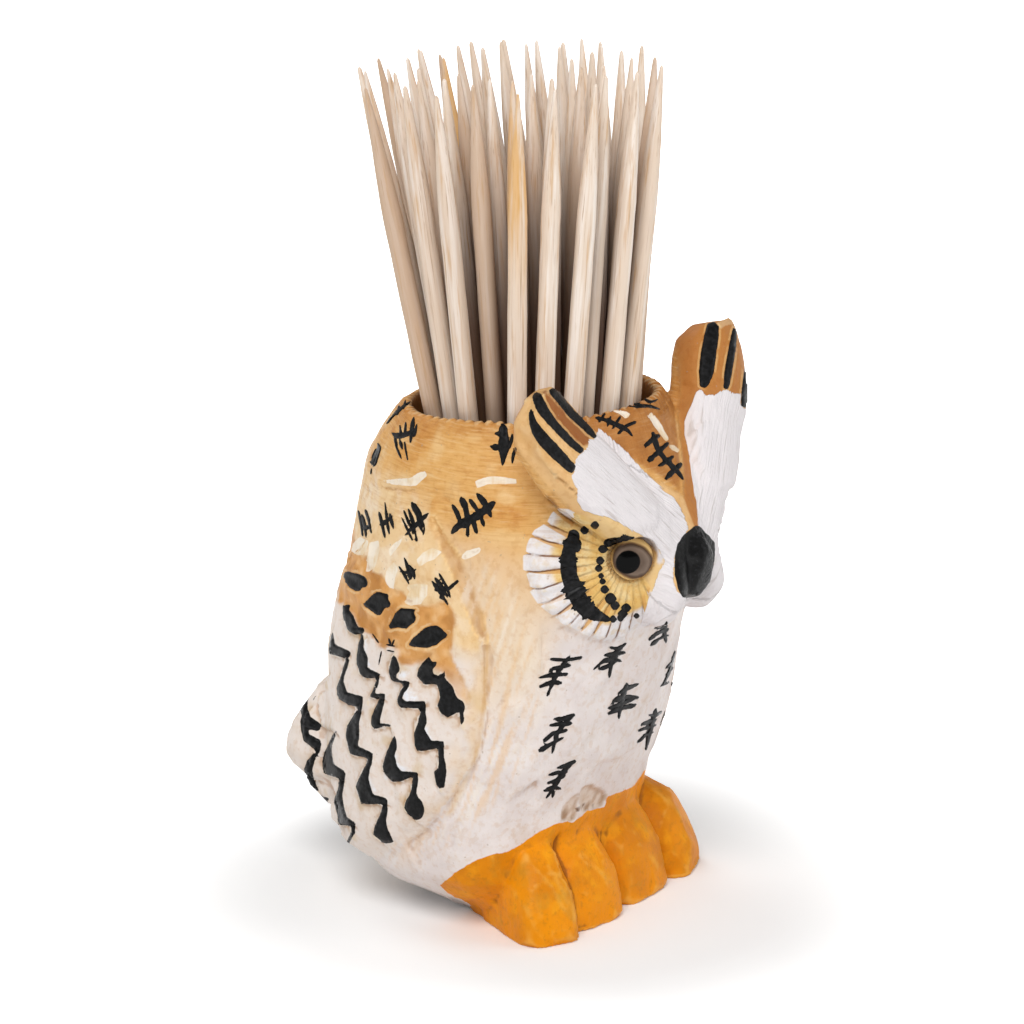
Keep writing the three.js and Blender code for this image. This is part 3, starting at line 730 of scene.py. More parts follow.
FAR_WHITE = [
    (893, 450), (905, 420), (925, 410), (950, 440), (1000, 432), (1040, 410), (1075, 430), (1110, 430),
    (1115, 495), (1160, 505), (1160, 620), (1130, 800), (1110, 900), (1090, 1000), (1080, 1200),
    (1070, 1320), (1000, 1400), (950, 1460), (850, 1480), (820, 1440), (850, 1200), (870, 1080),
    (915, 1050), (912, 990), (905, 930), (895, 890), (880, 780), (868, 700), (850, 620), (852, 560),
    (865, 520), (880, 490),
]
BEAK_BLACK = [
    (878, 1058), (900, 1048), (925, 1055), (960, 1082), (990, 1118), (992, 1180), (980, 1250),
    (955, 1297), (928, 1332), (882, 1370), (845, 1374), (824, 1342), (805, 1266), (805, 1180),
    (819, 1125), (842, 1088),
]
ORANGE_FEET = [
    (100, 1218), (180, 1152), (260, 1106), (330, 1082), (400, 1070), (440, 1050), (500, 1010), (560, 970),
    (620, 942), (680, 926), (702, 936), (742, 908), (770, 880), (850, 862), (865, 815), (930, 790),
    (985, 768), (1010, 730), (1040, 690), (1500, 600), (1500, 1700), (-100, 1700), (-60, 1300),
    (40, 1245),
]
TAN_BAND = [
    (200, 480), (238, 484), (268, 478), (300, 490), (318, 545), (360, 558), (385, 592), (430, 612),
    (455, 642), (500, 667), (555, 655), (590, 640), (612, 680), (614, 760), (606, 830), (640, 905),
    (668, 960), (668, 1010), (630, 985), (600, 905), (560, 880), (520, 850), (470, 872), (440, 862),
    (420, 822), (390, 802), (350, 802), (330, 762), (300, 748), (270, 700), (240, 668), (200, 640),
]
TAN_WEDGE = [
    (545, 338), (602, 432), (652, 505), (692, 600), (726, 700), (738, 792), (700, 765), (655, 650),
    (620, 560), (580, 470),
]
SHOULDER_CHIPS = [
    [(150, 395), (185, 360), (235, 385), (225, 420), (200, 465), (165, 462), (135, 440)],
    [
        (250, 395), (300, 385), (302, 420), (295, 480), (275, 540), (252, 560), (222, 570), (222, 520),
        (245, 460),
    ],
    [(360, 560), (400, 520), (420, 560), (402, 600), (390, 680), (355, 660), (345, 620)],
    [(480, 665), (540, 655), (602, 660), (602, 720), (560, 772), (500, 782), (462, 765), (500, 700)],
    [(545, 500), (580, 460), (640, 430), (690, 450), (650, 490), (600, 510), (560, 535)],
    [(820, 480), (850, 450), (937, 425), (930, 450), (880, 480), (830, 495)],
    [(370, 440), (400, 400), (450, 370), (462, 350), (430, 400), (400, 440), (375, 470)],
]
NAPE_CHIPS = [
    [
        (250, 478), (330, 470), (400, 465), (440, 440), (480, 428), (492, 445), (450, 480), (430, 500),
        (400, 502), (300, 492),
    ],
    [(765, 480), (830, 460), (900, 458), (985, 470), (988, 488), (900, 490), (830, 492), (775, 512)],
]
HEAD_CHIPS = [
    [(512, 488), (525, 484), (596, 520), (590, 532), (545, 515)],
    [(684, 522), (702, 518), (740, 575), (775, 640), (768, 648), (728, 598), (700, 552)],
    [(780, 672), (800, 672), (828, 690), (820, 698), (795, 688)],
]
# A mark on the back: strokes from and to (across, up), half width, in millimetres; then where the marks are.
BACK_MARK = [
    ((-0.3, 1.5), (0.25, -1.6), 0.2), ((-0.95, 0.55), (0.8, 0.95), 0.15),
    ((-1.05, -0.1), (0.95, 0.25), 0.17), ((-0.85, -0.8), (0.8, -0.45), 0.13),
]
BACK_SPOTS = [
    (-2.5, 47.6, 0.15), (3.4, 48.4, -0.1), (8.6, 46.2, 0.12), (0.6, 43.6, -0.12), (6.2, 42.4, 0.1),
    (-5.0, 43.0, 0.1), (10.2, 40.4, -0.1), (2.6, 39.2, 0.12),
]
STROKE_SETS = (
    (NAPE_STROKES, nape_close), (SHOULDER_STROKES, shoulder_close), (BELLY_STROKES, belly_close),
    (FOREHEAD_STROKES, face_close), (RIM_STROKES, ear_close),
)
WING_EDGE = [
    (530, 300), (545, 330), (600, 425), (645, 505), (705, 650), (735, 780), (738, 900), (716, 1100),
    (684, 1235), (610, 1392), (500, 1500), (380, 1568),
]
SCOOP_AND_SHADOW = [(228, 655, 10), (300, 668, 16), (380, 672, 16), (425, 668, 8)]
KNIFE_LINES = [
    [(280, 560, 3), (340, 610, 5), (425, 685, 3)],
    [(265, 705, 8), (300, 745, 10), (340, 790, 4)],
]
BARE_NOTCHES = [
    [
        (430, 212), (434, 180), (450, 155), (470, 136), (492, 122), (500, 140), (490, 168), (486, 200),
        (465, 220), (442, 220),
    ],
    [
        (496, 150), (500, 118), (515, 96), (542, 90), (560, 100), (588, 112), (597, 130), (585, 160),
        (556, 174), (530, 186), (508, 182),
    ],
]
NOTCH_PITS = [(492, 176, 7), (512, 162, 6), (548, 168, 6), (470, 204, 5)]
TOE_EDGES = [
    [(180, 340, 3), (300, 520, 4), (370, 640, 3)],
    [(300, 335, 3), (390, 450, 4), (460, 560, 3)],
    [(500, 330, 3), (570, 400, 4), (636, 480, 3)],
    [(385, 380, 3), (440, 470, 4), (480, 560, 2)],
    [(630, 190, 3), (740, 330, 4), (818, 440, 3)],
    [(740, 80, 3), (840, 170, 4), (922, 255, 3)],
]
# How deep the tail is notched at each height, below its feathers.
TAIL_CUTS = np.array([
    (4, 0), (6.3, 0), (7.4, 0.6), (7.9, 0.1), (9.3, 0.3), (10.3, 1.1), (10.9, 0.9), (11.6, 0.4), (13, 0.25),
    (15, 0.4), (18, 0.5), (22, 0.4), (26, 0.1), (28, 0),
])


# The owl's skin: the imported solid, made finer, then cut, stepped and grooved like carved wood.

def make_skin():
    source = frame["nodes"]["owl_body"]
    mesh = source.data.copy()
    skin = bpy.data.objects.new("owl_skin", mesh)
    bpy.context.scene.collection.objects.link(skin)
    mesh.materials.clear()
    builder = bmesh.new()
    builder.from_mesh(mesh)
    bmesh.ops.remove_doubles(builder, verts=builder.verts, dist=0.001 * MM)
    builder.to_mesh(mesh)
    builder.free()
    select_only(skin)
    remesh = skin.modifiers.new("remesh", "REMESH")
    remesh.mode = "VOXEL"
    remesh.voxel_size = SKIN_GRAIN * MM
    bpy.ops.object.modifier_apply(modifier=remesh.name)
    soften = skin.modifiers.new("soften", "SMOOTH")
    soften.factor = 0.5
    soften.iterations = 5
    bpy.ops.object.modifier_apply(modifier=soften.name)
    # the bore's wall and the underside are plain, so they keep fewer faces
    at = read_points(skin)
    in_bore = (
        np.hypot(at[:, 0], at[:, 1]) < BORE_RADIUS + 0.3
    ) & (at[:, 2] > BORE_FLOOR - 0.5) & (at[:, 2] < TOP - 2.6)
    plain = skin.vertex_groups.new(name="plain")
    plain.add(np.nonzero(in_bore | (at[:, 2] < 0.1))[0].tolist(), 1.0, "ADD")
    thin = skin.modifiers.new("thin", "DECIMATE")
    thin.ratio = PLAIN_RATIO
    thin.vertex_group = plain.name
    bpy.ops.object.modifier_apply(modifier=thin.name)
    skin.vertex_groups.clear()
    skin.data.shade_smooth()
    return skin


skin = make_skin()
points = read_points(skin)
edges = read_edges(skin)
degree = np.bincount(edges.ravel(), minlength=len(points)).astype(float)


def near_side(p):
    """Points brought to the owl's right side, which the camera sees."""
    return np.stack([-np.abs(p[:, 0]), p[:, 1], p[:, 2]], -1)


def near_side_ways(p, n):
    """Outward ways, turned with their points to that side."""
    flip = np.where(p[:, :1] > 0, -1.0, 1.0)
    return n * np.concatenate([flip, np.ones_like(flip), np.ones_like(flip)], 1)


def masks(p, n):
    """Which parts of the owl each point belongs to."""
    q = near_side(p)
    out = {}
    radius = np.hypot(p[:, 0], p[:, 1])
    radial = (n[:, 0] * p[:, 0] + n[:, 1] * p[:, 1]) / np.maximum(radius, 1e-6)
    out["bore"] = (
        (radius < BORE_RADIUS + 0.35) & (p[:, 2] > BORE_FLOOR - 0.5) & (
            (radial < -0.2) | (radius < BORE_RADIUS - 0.8)
        ) & (p[:, 1] > -BORE_RADIUS - 1)
    ).astype(float)
    d, share, _ = line_distance(q, BROW_LINE)
    out["brow_share"] = share
    out["brow"] = 5.6 - d
    toe = np.full(len(p), -9.0)
    next_toe = toe
    for across, reach, splay, girth, tall in TOE_LIST:
        way = np.array([splay, -1.0]) / math.hypot(splay, 1)
        wide = np.array([way[1], -way[0]])
        root = np.array([across * TORSO_HALF, 0.0])
        rel = p[:, :2] - root
        along = rel @ way / (reach * FOOT_REACH)
        aside = rel @ wide
        half = np.interp(along, TOE_ROWS[:, 0], TOE_ROWS[:, 2]) * TOE_HALF * girth
        tops = np.interp(along, TOE_ROWS[:, 0], TOE_ROWS[:, 1]) * FOOT_HEIGHT * tall
        mid = (tops - 5) / 2
        hz = (tops + 5) / 2
        value = (np.abs(aside / half) ** 2.5 + np.abs((p[:, 2] - mid) / hz) ** 2.5) ** (1 / 2.5)
        field = (1 - value) * np.minimum(half, hz)
        past = np.maximum(along - 1, 0) * reach * FOOT_REACH
        behind = np.maximum(-0.1 - along, 0) * reach * FOOT_REACH
        next_toe = np.maximum(next_toe, np.minimum(toe, field - past - behind))
        toe = np.maximum(toe, field - past - behind)
    out["toe"] = toe
    out["toe_crease"] = smooth(0.5, 0.0, toe - next_toe) * smooth(-1.2, -0.5, toe)
    beak = np.linalg.norm((p - BEAK_AT) / BEAK_REACH, axis=1)
    out["beak"] = (1.12 - beak) * 2.4
    rel = q - EYE_AT
    inward = np.cross([0, 0, 1.0], EYE_OUT)
    inward /= np.linalg.norm(inward)
    upward = np.cross(EYE_OUT, inward)
    u, v, w = rel @ inward, rel @ upward, rel @ EYE_OUT
    angle = np.arctan2(-v, -u)
    c, s = -np.cos(angle), -np.sin(angle)
    sideways = np.where(c > 0, 0.46, 1.0)
    upright = np.where(s > 0, np.where(c > 0, 0.5, 0.9), 0.88)
    edge = 10.0 / np.hypot(c / sideways, s / upright)
    reach = np.hypot(u, v)
    out["disc_angle"] = angle
    out["disc_reach"] = reach
    out["disc_edge"] = edge
    out["disc_share"] = reach / edge
    off_disc = np.maximum(np.abs(w) - 5, 0) + np.maximum(q[:, 1] + 7, 0)
    out["disc"] = np.maximum(edge - reach - off_disc, -9.0)
    out["turn"] = np.degrees(np.arctan2(-q[:, 0], -q[:, 1]))
    return out


normals = read_normals(skin)
zone = masks(points, normals)


# Smooth away the pads' upper edges on the shoulders, which are one surface there.
def soften_where(p, weight, rounds):
    for _ in range(rounds):
        p = p + weight[:, None] * 0.5 * (neighbour_mean(p, edges, degree) - p)
    return p


shoulder = smooth(32.5, 35.5, points[:, 2]) * smooth(66, 78, zone["turn"]) * (
    1 - smooth(47, 50, points[:, 2])
)
shoulder *= (zone["brow"] < -1) * (1 - zone["bore"]) * (zone["disc"] < -1)
flank = smooth(20, 26, points[:, 2]) * (
    1 - smooth(66, 72, zone["turn"])
) * (zone["disc"] < -1.2) * (zone["brow"] < -1) * (zone["toe"] < -2) * (zone["beak"] < -2)
points = soften_where(points, np.clip(shoulder + flank * 0.5, 0, 1), 40)
bridge = smooth(0.34, 0.2, zone["brow_share"]) * smooth(
    9.5, 8.0, np.abs(points[:, 0]),
) * smooth(-10, -12, points[:, 1])
bridge *= smooth(36.5, 38.5, points[:, 2]) * (zone["beak"] < 0.2) * smooth(2.6, 3.4, zone["disc_reach"])
points = soften_where(points, bridge * 0.9, 34)
write_points(skin, points)
normals = read_normals(skin)


def hit_pixel(tree, x, y):
    place, normal, _, _ = tree.ray_cast(Vector(EYE_POINT), Vector(pixel_way(x, y)))
    if place is None:
        return None, None
    return np.array(place), np.array(normal)


def line_on(tree, rows):
    """Pixel rows as points on the skin; rows that miss it are left out."""
    found = [hit_pixel(tree, row[0], row[1])[0] for row in rows]
    return np.array([f for f in found if f is not None])


AROUND = list(product((-1, 0, 1), repeat=3))


def spread_out(spots, order, cell):
    """Numbers of spots that lie at least a cell apart, taken in the order given."""
    kept = []
    taken = {}
    for index in order:
        at = spots[index]
        across, ahead, high = np.floor(at / cell).astype(int)
        crowded = any(
            ((spots[other] - at) ** 2).sum() < cell * cell
            for dx, dy, dz in AROUND
            for other in taken.get((across + dx, ahead + dy, high + dz), ())
        )
        if not crowded:
            taken.setdefault((across, ahead, high), []).append(index)
            kept.append(index)
    return np.array(kept)


def facets(p, n, cell, strength, weight, seed, stretch=(1.0, 1.0, 1.0), jitter=0.0):
    """Knife facets: each patch of skin is cut towards the plane of its middle."""
    chosen = np.nonzero(weight > 0.02)[0]
    if not len(chosen):
        return p
    picker = np.random.RandomState(seed)
    scaled = p[chosen] * np.array(stretch)
    seeds = spread_out(scaled, picker.permutation(len(chosen)), cell)
    places = p[chosen][seeds]
    ways = n[chosen][seeds] + picker.normal(0, jitter, (len(seeds), 3))
    ways /= np.linalg.norm(ways, axis=1)[:, None]
    spots = scaled[seeds]
    out = p.copy()
    for start in range(0, len(chosen), AT_ONCE):
        part = chosen[start:start + AT_ONCE]
        gaps = ((scaled[start:start + AT_ONCE][:, None, :] - spots[None]) ** 2).sum(2)
        nearest = gaps.argmin(1)
        height = ((p[part] - places[nearest]) * ways[nearest]).sum(1)
        height = np.clip(height, -DEEPEST_CUT, DEEPEST_CUT)
        out[part] -= ways[nearest] * (height * strength * weight[part])[:, None]
    return out


outer = 1 - zone["bore"]
toe_weight = smooth(-0.3, 0.3, zone["toe"]) * (points[:, 2] > 0.3)
beak_weight = smooth(-0.2, 0.3, zone["beak"])
brow_weight = smooth(0, 1.2, zone["brow"]) * (1 - beak_weight) * smooth(0.12, 0.3, zone["brow_share"])
disc_weight = smooth(-0.4, 0.2, zone["disc"]) * (1 - brow_weight)
body_weight = outer * (1 - toe_weight) * (1 - beak_weight) * (1 - brow_weight) * (1 - disc_weight)
points = facets(points, normals, 3.4, 0.75, toe_weight, 3, (1.1, 0.8, 0.7), 0.05)
points = facets(points, normals, 1.9, 0.8, beak_weight, 5, jitter=0.06)
points = facets(points, normals, 2.6, 0.45, brow_weight * 0.8, 6, (0.6, 0.6, 0.45), 0.02)
points = facets(points, normals, 3.6, 0.45, body_weight, 11, (1.0, 1.0, 0.5), 0.03)
points = soften_where(points, 0.6 - 0.45 * toe_weight, 2)
write_points(skin, points)
normals = read_normals(skin)
step_tree = tree_of(skin)

lift = np.zeros(len(points))
q = near_side(points)

# Feathers of the wing: each column stands proud of the next one at its lower left edge.
nearest = np.full(len(points), 1e9)
side = np.zeros(len(points))
near_way = near_side_ways(points, normals)
for wing_rows, tail_rows in FEATHER_EDGES:
    line = line_on(step_tree, wing_close(wing_rows) + tail_close(tail_rows))
    d, _, piece = line_distance(q, line)
    heading = np.diff(line, axis=0)[np.minimum(piece, len(line) - 2)]
    away = q - line[np.minimum(piece, len(line) - 2)]
    turn_side = (np.cross(heading, away) * near_way).sum(1)
    closer = d < nearest
    nearest = np.where(closer, d, nearest)
    side = np.where(closer, np.sign(turn_side), side)
wing_weight = smooth(-9, -5, -nearest) * smooth(-0.2, 0.2, body_weight - 0.5)
lift += wing_weight * np.where(side > 0, 0.26 * np.exp(-nearest / 1.5), -0.2 * np.exp(-nearest / 0.6))
feather_step_shade = np.where(side > 0, 0.0, np.exp(-nearest / 0.45)) * wing_weight

# Notches below the tail's feathers.
tail_cut = np.interp(
    points[:, 2], TAIL_CUTS[:, 0], TAIL_CUTS[:, 1],
) * smooth(13, 18, points[:, 1]) * body_weight
points = points - normals * np.array([1, 1, 0.2]) * tail_cut[:, None]

# The wing's front edge: a ridge between two shallow grooves.
edge_line = line_on(step_tree, side_crop(WING_EDGE))
d, share, _ = line_distance(q, edge_line)
wing_front = np.interp(points[:, 2], EDGE_HEIGHTS, EDGE_TURNS)
behind = smooth(-1.0, 1.0, zone["turn"] - wing_front)
fade = smooth(0, 0.15, share) * smooth(1.0, 0.9, share) * body_weight
lift += fade * (
    0.2 * np.exp(-((d - 0.35) / 0.4) ** 2) * behind - 0.22 * np.exp(
        -((d - 0.35) / 0.35) ** 2
    ) * (1 - behind)
)

# Rays of the feather discs: narrow grooves between rounded feathers, and a scalloped edge.
ray = (zone["disc_angle"] / (2 * math.pi) + 0.5) * RAYS + 0.5
off_groove = np.abs(ray - np.round(ray)) * 2 * math.pi / RAYS * zone["disc_reach"]
ray_weight = smooth(-0.8, -0.1, zone["disc"]) * smooth(2.4, 3.6, zone["disc_reach"]) * (1 - brow_weight)
lift += ray_weight * (
    -0.2 * np.exp(-(off_groove / 0.2) ** 2) + 0.05 * np.cos(2 * math.pi * (ray - np.round(ray)))
)
# A soft hollow round the eye.
lift -= 0.25 * np.exp(-((zone["disc_reach"] - 2.9) / 0.7) ** 2) * (zone["disc"] > -2)


def shown_at(p, n):
    """Where the picture shows each point, or its mirror image where the point itself faces away."""
    mirror = np.array([-1.0, 1.0, 1.0])
    own = n @ BACK
    other = (n * mirror) @ BACK
    near = np.where(p[:, 0] < 0, own > -0.05, ~(own > 0.05))
    itself = np.where(p[:, 0] < 0, near, ~near)
    place = to_pixels(np.where(itself[:, None], p, p * mirror))
    return place, np.where(itself, own, other), near


def field(place, corners):
    """Millimetres inside an outline drawn in the picture."""
    return np.clip(polygon_distance(place, np.array(corners)) / PIXELS_PER_MM, OUTSIDE, -OUTSIDE)


def stroke_field(place, rows, widen=1.0):
    """Millimetres inside a stroke of changing width drawn in the picture."""
    line = smooth_rows(resample(rows, 3.0), 1)
    best = np.full(len(place), OUTSIDE)
    low, high = line[:, :2].min(0) - 30, line[:, :2].max(0) + 30
    near = np.nonzero(((place > low) & (place < high)).all(1))[0]
    sub = place[near]
    value = np.full(len(near), -30.0)
    for a, b in zip(line[:-1], line[1:]):
        run = b[:2] - a[:2]
        t = np.clip(((sub - a[:2]) @ run) / max(run @ run, 1e-9), 0, 1)
        gap = np.linalg.norm(sub - (a[:2] + t[:, None] * run), axis=1)
        value = np.maximum(value, (a[2] + (b[2] - a[2]) * t) * widen - gap)
    best[near] = np.maximum(value / PIXELS_PER_MM, OUTSIDE)
    return best


def only(value, part):
    return np.where(part, value, OUTSIDE)


def drawn(measure, place, shapes, crop, part):
    """Millimetres inside the nearest of several drawn shapes, on one part of the skin."""
    inside = np.full(len(place), OUTSIDE)
    for rows in shapes:
        inside = np.maximum(inside, only(measure(place, crop(rows)), part))
    return inside


place, facing, is_near = shown_at(points, normals)
on_body = (body_weight > 0.4) & (facing > 0.0)
chip_field = CHIP_GROWTH + np.maximum.reduce([
    drawn(field, place, SHOULDER_CHIPS, shoulder_close, on_body & is_near),
    drawn(field, place, NAPE_CHIPS, nape_close, on_body & is_near),
    drawn(field, place, HEAD_CHIPS, head_crop, on_body),
])
lift -= 0.14 * smooth(-0.05, 0.25, chip_field)
# a shallow scoop on the nape, which also carries a painted shadow
scoop_and_shadow_field = only(stroke_field(place, back_crop(SCOOP_AND_SHADOW)), on_body & is_near)
lift -= 0.25 * smooth(-0.1, 0.25, scoop_and_shadow_field)
# long shallow flutes of the gouge down the flank and the belly
flute_at = np.stack(
    [place @ np.array([0.066, 0.055]), place @ np.array([0.011, -0.014]), points[:, 2] * 0], -1,
)
flute = noise(flute_at, 1.0, 61)
lift += 0.14 * flute * body_weight * smooth(44, 38, points[:, 2]) * smooth(88, 70, zone["turn"])
wedge_field = only(field(place, side_crop(TAN_WEDGE)), on_body & is_near)
lift -= 0.16 * smooth(-0.15, 0.15, wedge_field)
# the cream feathers of the shoulder end in a step above the tan band
band_field = only(field(place, side_crop(TAN_BAND)), on_body & is_near)
lift -= 0.2 * smooth(-0.1, 0.1, band_field) * smooth(1.6, 0.2, band_field)

# Black spots on the shoulder: each one a hollow of a few cuts.
spot_field = drawn(field, place, SHOULDER_SPOTS, shoulder_close, on_body & is_near)
lift -= 0.2 * smooth(0, 0.8, spot_field)
lift += 0.1 * np.exp(-((spot_field + 0.3) / 0.25) ** 2) * (spot_field > -2)

# A bare notch above the toes, and small ridges along the toes' edges.
notch_field = drawn(field, place, BARE_NOTCHES, feet_close, (facing > 0) & (points[:, 0] < 0))
lift -= 0.24 * smooth(-0.1, 0.2, notch_field)
toe_edge = drawn(stroke_field, place, TOE_EDGES, feet_close, (points[:, 2] < 14) & (facing > 0))
lift += toe_weight * 0.12 * np.exp(-(np.minimum(toe_edge, 0) / 0.3) ** 2)

# The near ear is a little slimmer behind than the far one, which is wider outside.
ear_part = smooth(0.6, 0.78, zone["brow_share"]) * smooth(0, 1, zone["brow"])
sideways = normals @ RIGHT
lift -= 0.75 * ear_part * smooth(0.0, 0.7, -sideways) * (points[:, 0] < 0)
lift += 0.6 * ear_part * smooth(0.2, 0.8, sideways) * (points[:, 0] > 0)

# The rim of the bore is nibbled.
radius = np.hypot(points[:, 0], points[:, 1])
rim = smooth(-1.3, -0.2, points[:, 2] - TOP) * (radius < 13.6) * (radius > 11.2)
turn_all = np.arctan2(points[:, 1], points[:, 0])
nibble = np.abs(np.sin(turn_all * 36 + 1.5 * noise(points, 3.0, 21)))
drop = rim * (0.12 + 0.45 * (1 - nibble)) * (0.7 + 0.5 * noise(points, 4.0, 22))

lift += body_weight * 0.05 * noise(points, 0.9, 31)
lift += toe_weight * 0.06 * noise(points, 1.4, 32)
lift -= 0.22 * zone["toe_crease"] * smooth(0.3, 1.0, points[:, 2])
# the foot of the tail bulges a little over the floor
tail_foot = smooth(0.4, 1.6, points[:, 2]) * smooth(5.5, 3.2, points[:, 2]) * smooth(6, 11, points[:, 1])
lift += 0.7 * tail_foot * smooth(0.15, 0.7, -(near_way @ RIGHT)) * body_weight
points = points + normals * (lift * outer)[:, None]
points[:, 2] -= drop
box_low, box_high = np.array(cad_box) / MM
points = np.clip(points, box_low + INSET, box_high - INSET)
write_points(skin, points)
normals = read_normals(skin)
tree = tree_of(skin)

# How convex the skin is at each point: worn edges are positive, creases negative.
bend = ((points - neighbour_mean(points, edges, degree)) * normals).sum(1)
for _ in range(2):
    bend = 0.5 * bend + 0.5 * neighbour_mean(bend, edges, degree)
write_value(skin, "bend", bend / 0.03)

# Colours by place.
zone = masks(points, normals)
q = near_side(points)
place, facing, is_near = shown_at(points, normals)
z = points[:, 2]
turn = zone["turn"]
beak_weight = smooth(-0.2, 0.3, zone["beak"])
on_body = (body_weight > 0.3) & (facing > -0.02)
on_brow = (zone["brow"] > -1.5) | ((np.abs(points[:, 0]) < 7) & (points[:, 1] < -13.5) & (z > 31))
on_ear = (zone["brow"] > 0) & (facing > -0.1)
stripe_field = np.maximum(
    drawn(field, place, NEAR_STRIPES, ear_close, on_ear & is_near),
    drawn(field, place, FAR_STRIPES, head_crop, on_ear & ~is_near),
)


def paint(colours, hex_colour, weight):
    return colours + (np.array(linear(hex_colour)) - colours) * np.clip(weight, 0, 1)[:, None]


soft_big = noise(points, 5.0, 41)
soft_mid = noise(points, 2.0, 42)
soft_small = noise(points, 0.8, 43)
shift = 1.6 * soft_big + 0.8 * soft_mid + 0.4 * soft_small
colours = np.tile(np.array(linear("#E2D7D3")), (len(points), 1))
colours = paint(colours, "#E9E0DC", 0.5 + soft_mid)
# cream over the flank, then tan towards the head
cream = smooth(19, 33, z + shift) * smooth(45, 64, turn + 2 * soft_big)
colours = paint(colours, "#E8D3B9", cream)
colours = paint(colours, "#E5C6A0", smooth(30.5, 37, z + shift) * smooth(30, 56, turn) * 0.85)
tan = smooth(36, 43.5, z + shift + 1.5 * smooth(80, 60, turn))
colours = paint(colours, "#DFAC68", tan)
colours = paint(colours, "#D89F58", tan * smooth(0.25, 0.9, soft_big + 0.6 * soft_mid + 0.25) * 0.8)
colours = paint(colours, "#C98A44", tan * smooth(0.35, 1.1, soft_mid + 0.8 * soft_small) * 0.6)
colours = paint(colours, "#E9C48C", tan * smooth(0.2, 0.8, -soft_mid - 0.4 * soft_small) * 0.6)
colours = paint(colours, "#BC7E3C", smooth(49.5, 52, z + shift) * 0.5)
# the wing: cream-white under the band line
band_height = 31.7 + 0.092 * (turn - 92)
wing_front = np.interp(z, EDGE_HEIGHTS, EDGE_TURNS)
in_wing = smooth(-0.8, 0.8, turn - wing_front)
white_wing = in_wing * smooth(0.6, -0.8, z - (band_height - 1.0) + 0.5 * soft_mid)
colours = paint(colours, "#E9DDD4", white_wing)
colours = paint(colours, "#D9C2A2", white_wing * smooth(0.35, 0.9, soft_mid + 0.5 * soft_small) * 0.7)
# painted shade: tan on the lowered side of each feather step
colours = paint(colours, "#C9A576", white_wing * feather_step_shade * smooth(-0.7, 0.3, soft_small) * 0.75)
shoulder_cream = in_wing * smooth(0, 1.0, z - band_height) * (1 - smooth(9, 13, z - band_height + shift))
colours = paint(colours, "#EBCC9E", shoulder_cream * 0.85)
colours = paint(colours, "#F3E2CA", shoulder_cream * smooth(0.2, 0.8, soft_small + 0.6 * soft_mid) * 0.6)
colours = paint(colours, "#DDB27A", shoulder_cream * smooth(0.25, 0.8, -soft_small - 0.4 * soft_mid) * 0.5)
far_band = smooth(116, 124, turn) * smooth(2.5, 1.7, np.abs(z - band_height) + 0.5 * soft_mid)
in_band = np.maximum(far_band, smooth(-0.28, 0.14, band_field + 0.2 * soft_small + 0.15 * soft_mid))
in_band *= 1 - 0.5 * smooth(29.5, 27.0, z)
colours = paint(colours, "#D89E5C", in_band)
colours = paint(colours, "#B97F42", in_band * smooth(0.1, 0.7, soft_mid + 0.6 * soft_small) * 0.8)
colours = paint(colours, "#E8BC86", in_band * smooth(0.15, 0.7, -soft_small - 0.5 * soft_mid) * 0.8)
# yellow glaze behind the wing's front edge
edge_d, edge_share, _ = line_distance(q, line_on(tree, side_crop(WING_EDGE)))
glaze = np.where(
    turn > wing_front, smooth(3.6, 0.4, edge_d), smooth(0.5, 0.0, edge_d),
) * smooth(0, 0.1, edge_share)
colours = paint(
    colours, "#E2BC83", glaze * 0.6 * smooth(-0.8, 0.4, soft_mid + 0.5 * soft_small) * smooth(6, 16, z),
)
colours = paint(
    colours,
    "#CC9A58",
    smooth(0.4, 0.1, edge_d) * smooth(0, 0.1, edge_share) * smooth(8, 18, z) * 0.45 * smooth(
        -0.6, 0.3, soft_mid,
    ),
)
wedge = only(field(place, side_crop(TAN_WEDGE)), on_body & is_near) + 0.12
colours = paint(colours, "#C8975A", smooth(0.0, 0.2, wedge) * (0.55 + 0.3 * soft_small))
colours = paint(colours, "#EFCB92", smooth(0.13, 0.03, np.abs(wedge)) * smooth(-0.5, 0.3, soft_mid))
# painted shadow: brown in the scoop on the nape
colours = paint(colours, "#B58445", smooth(0.0, 0.5, scoop_and_shadow_field) * 0.75)
# the head
brow = smooth(0.2, 0.9, zone["brow"]) * (q[:, 1] < -4)
forehead = (
    np.abs(points[:, 0]) < 11
) * (points[:, 1] < -8.5) * smooth(39, 41, z) * (zone["disc"] < 0) * smooth(0.2, -0.4, zone["brow"])
forehead = forehead * smooth(
    0.0, 0.3, -normals[:, 1] * (np.abs(points[:, 0]) > 8) + (np.abs(points[:, 0]) <= 8),
)
colours = paint(colours, "#B4783C", forehead)
colours = paint(colours, "#98602C", forehead * smooth(0.0, 0.8, soft_mid + 0.5 * soft_small) * 0.7)
colours = paint(colours, "#C98F52", forehead * smooth(0.3, 0.8, -soft_small) * 0.5)
colours = paint(colours, "#E4B981", brow * smooth(-0.2, 0.3, facing) * is_near)
colours = paint(colours, "#D6A466", brow * smooth(0.2, 0.8, soft_mid + 0.5 * soft_small) * is_near * 0.7)
colours = paint(colours, "#B9793C", brow * (1 - smooth(-0.2, 0.3, facing) * is_near))
towards_middle = near_side_ways(points, normals)[:, 0]
inner_brow = brow * smooth(-0.1, 0.3, towards_middle) * smooth(0.7, 0.55, zone["brow_share"])
colours = paint(colours, "#B67C42", inner_brow)
chestnut = only(field(place, ear_close(EAR_CHESTNUT)), is_near & (zone["brow"] > 0))
colours = paint(colours, "#9C6030", smooth(-0.1, 0.15, chestnut + 0.1 * soft_small))
far_tip = brow * smooth(0.62, 0.70, zone["brow_share"]) * smooth(-0.55, -0.3, stripe_field) * ~is_near
colours = paint(colours, "#B87A3A", far_tip * 0.8)
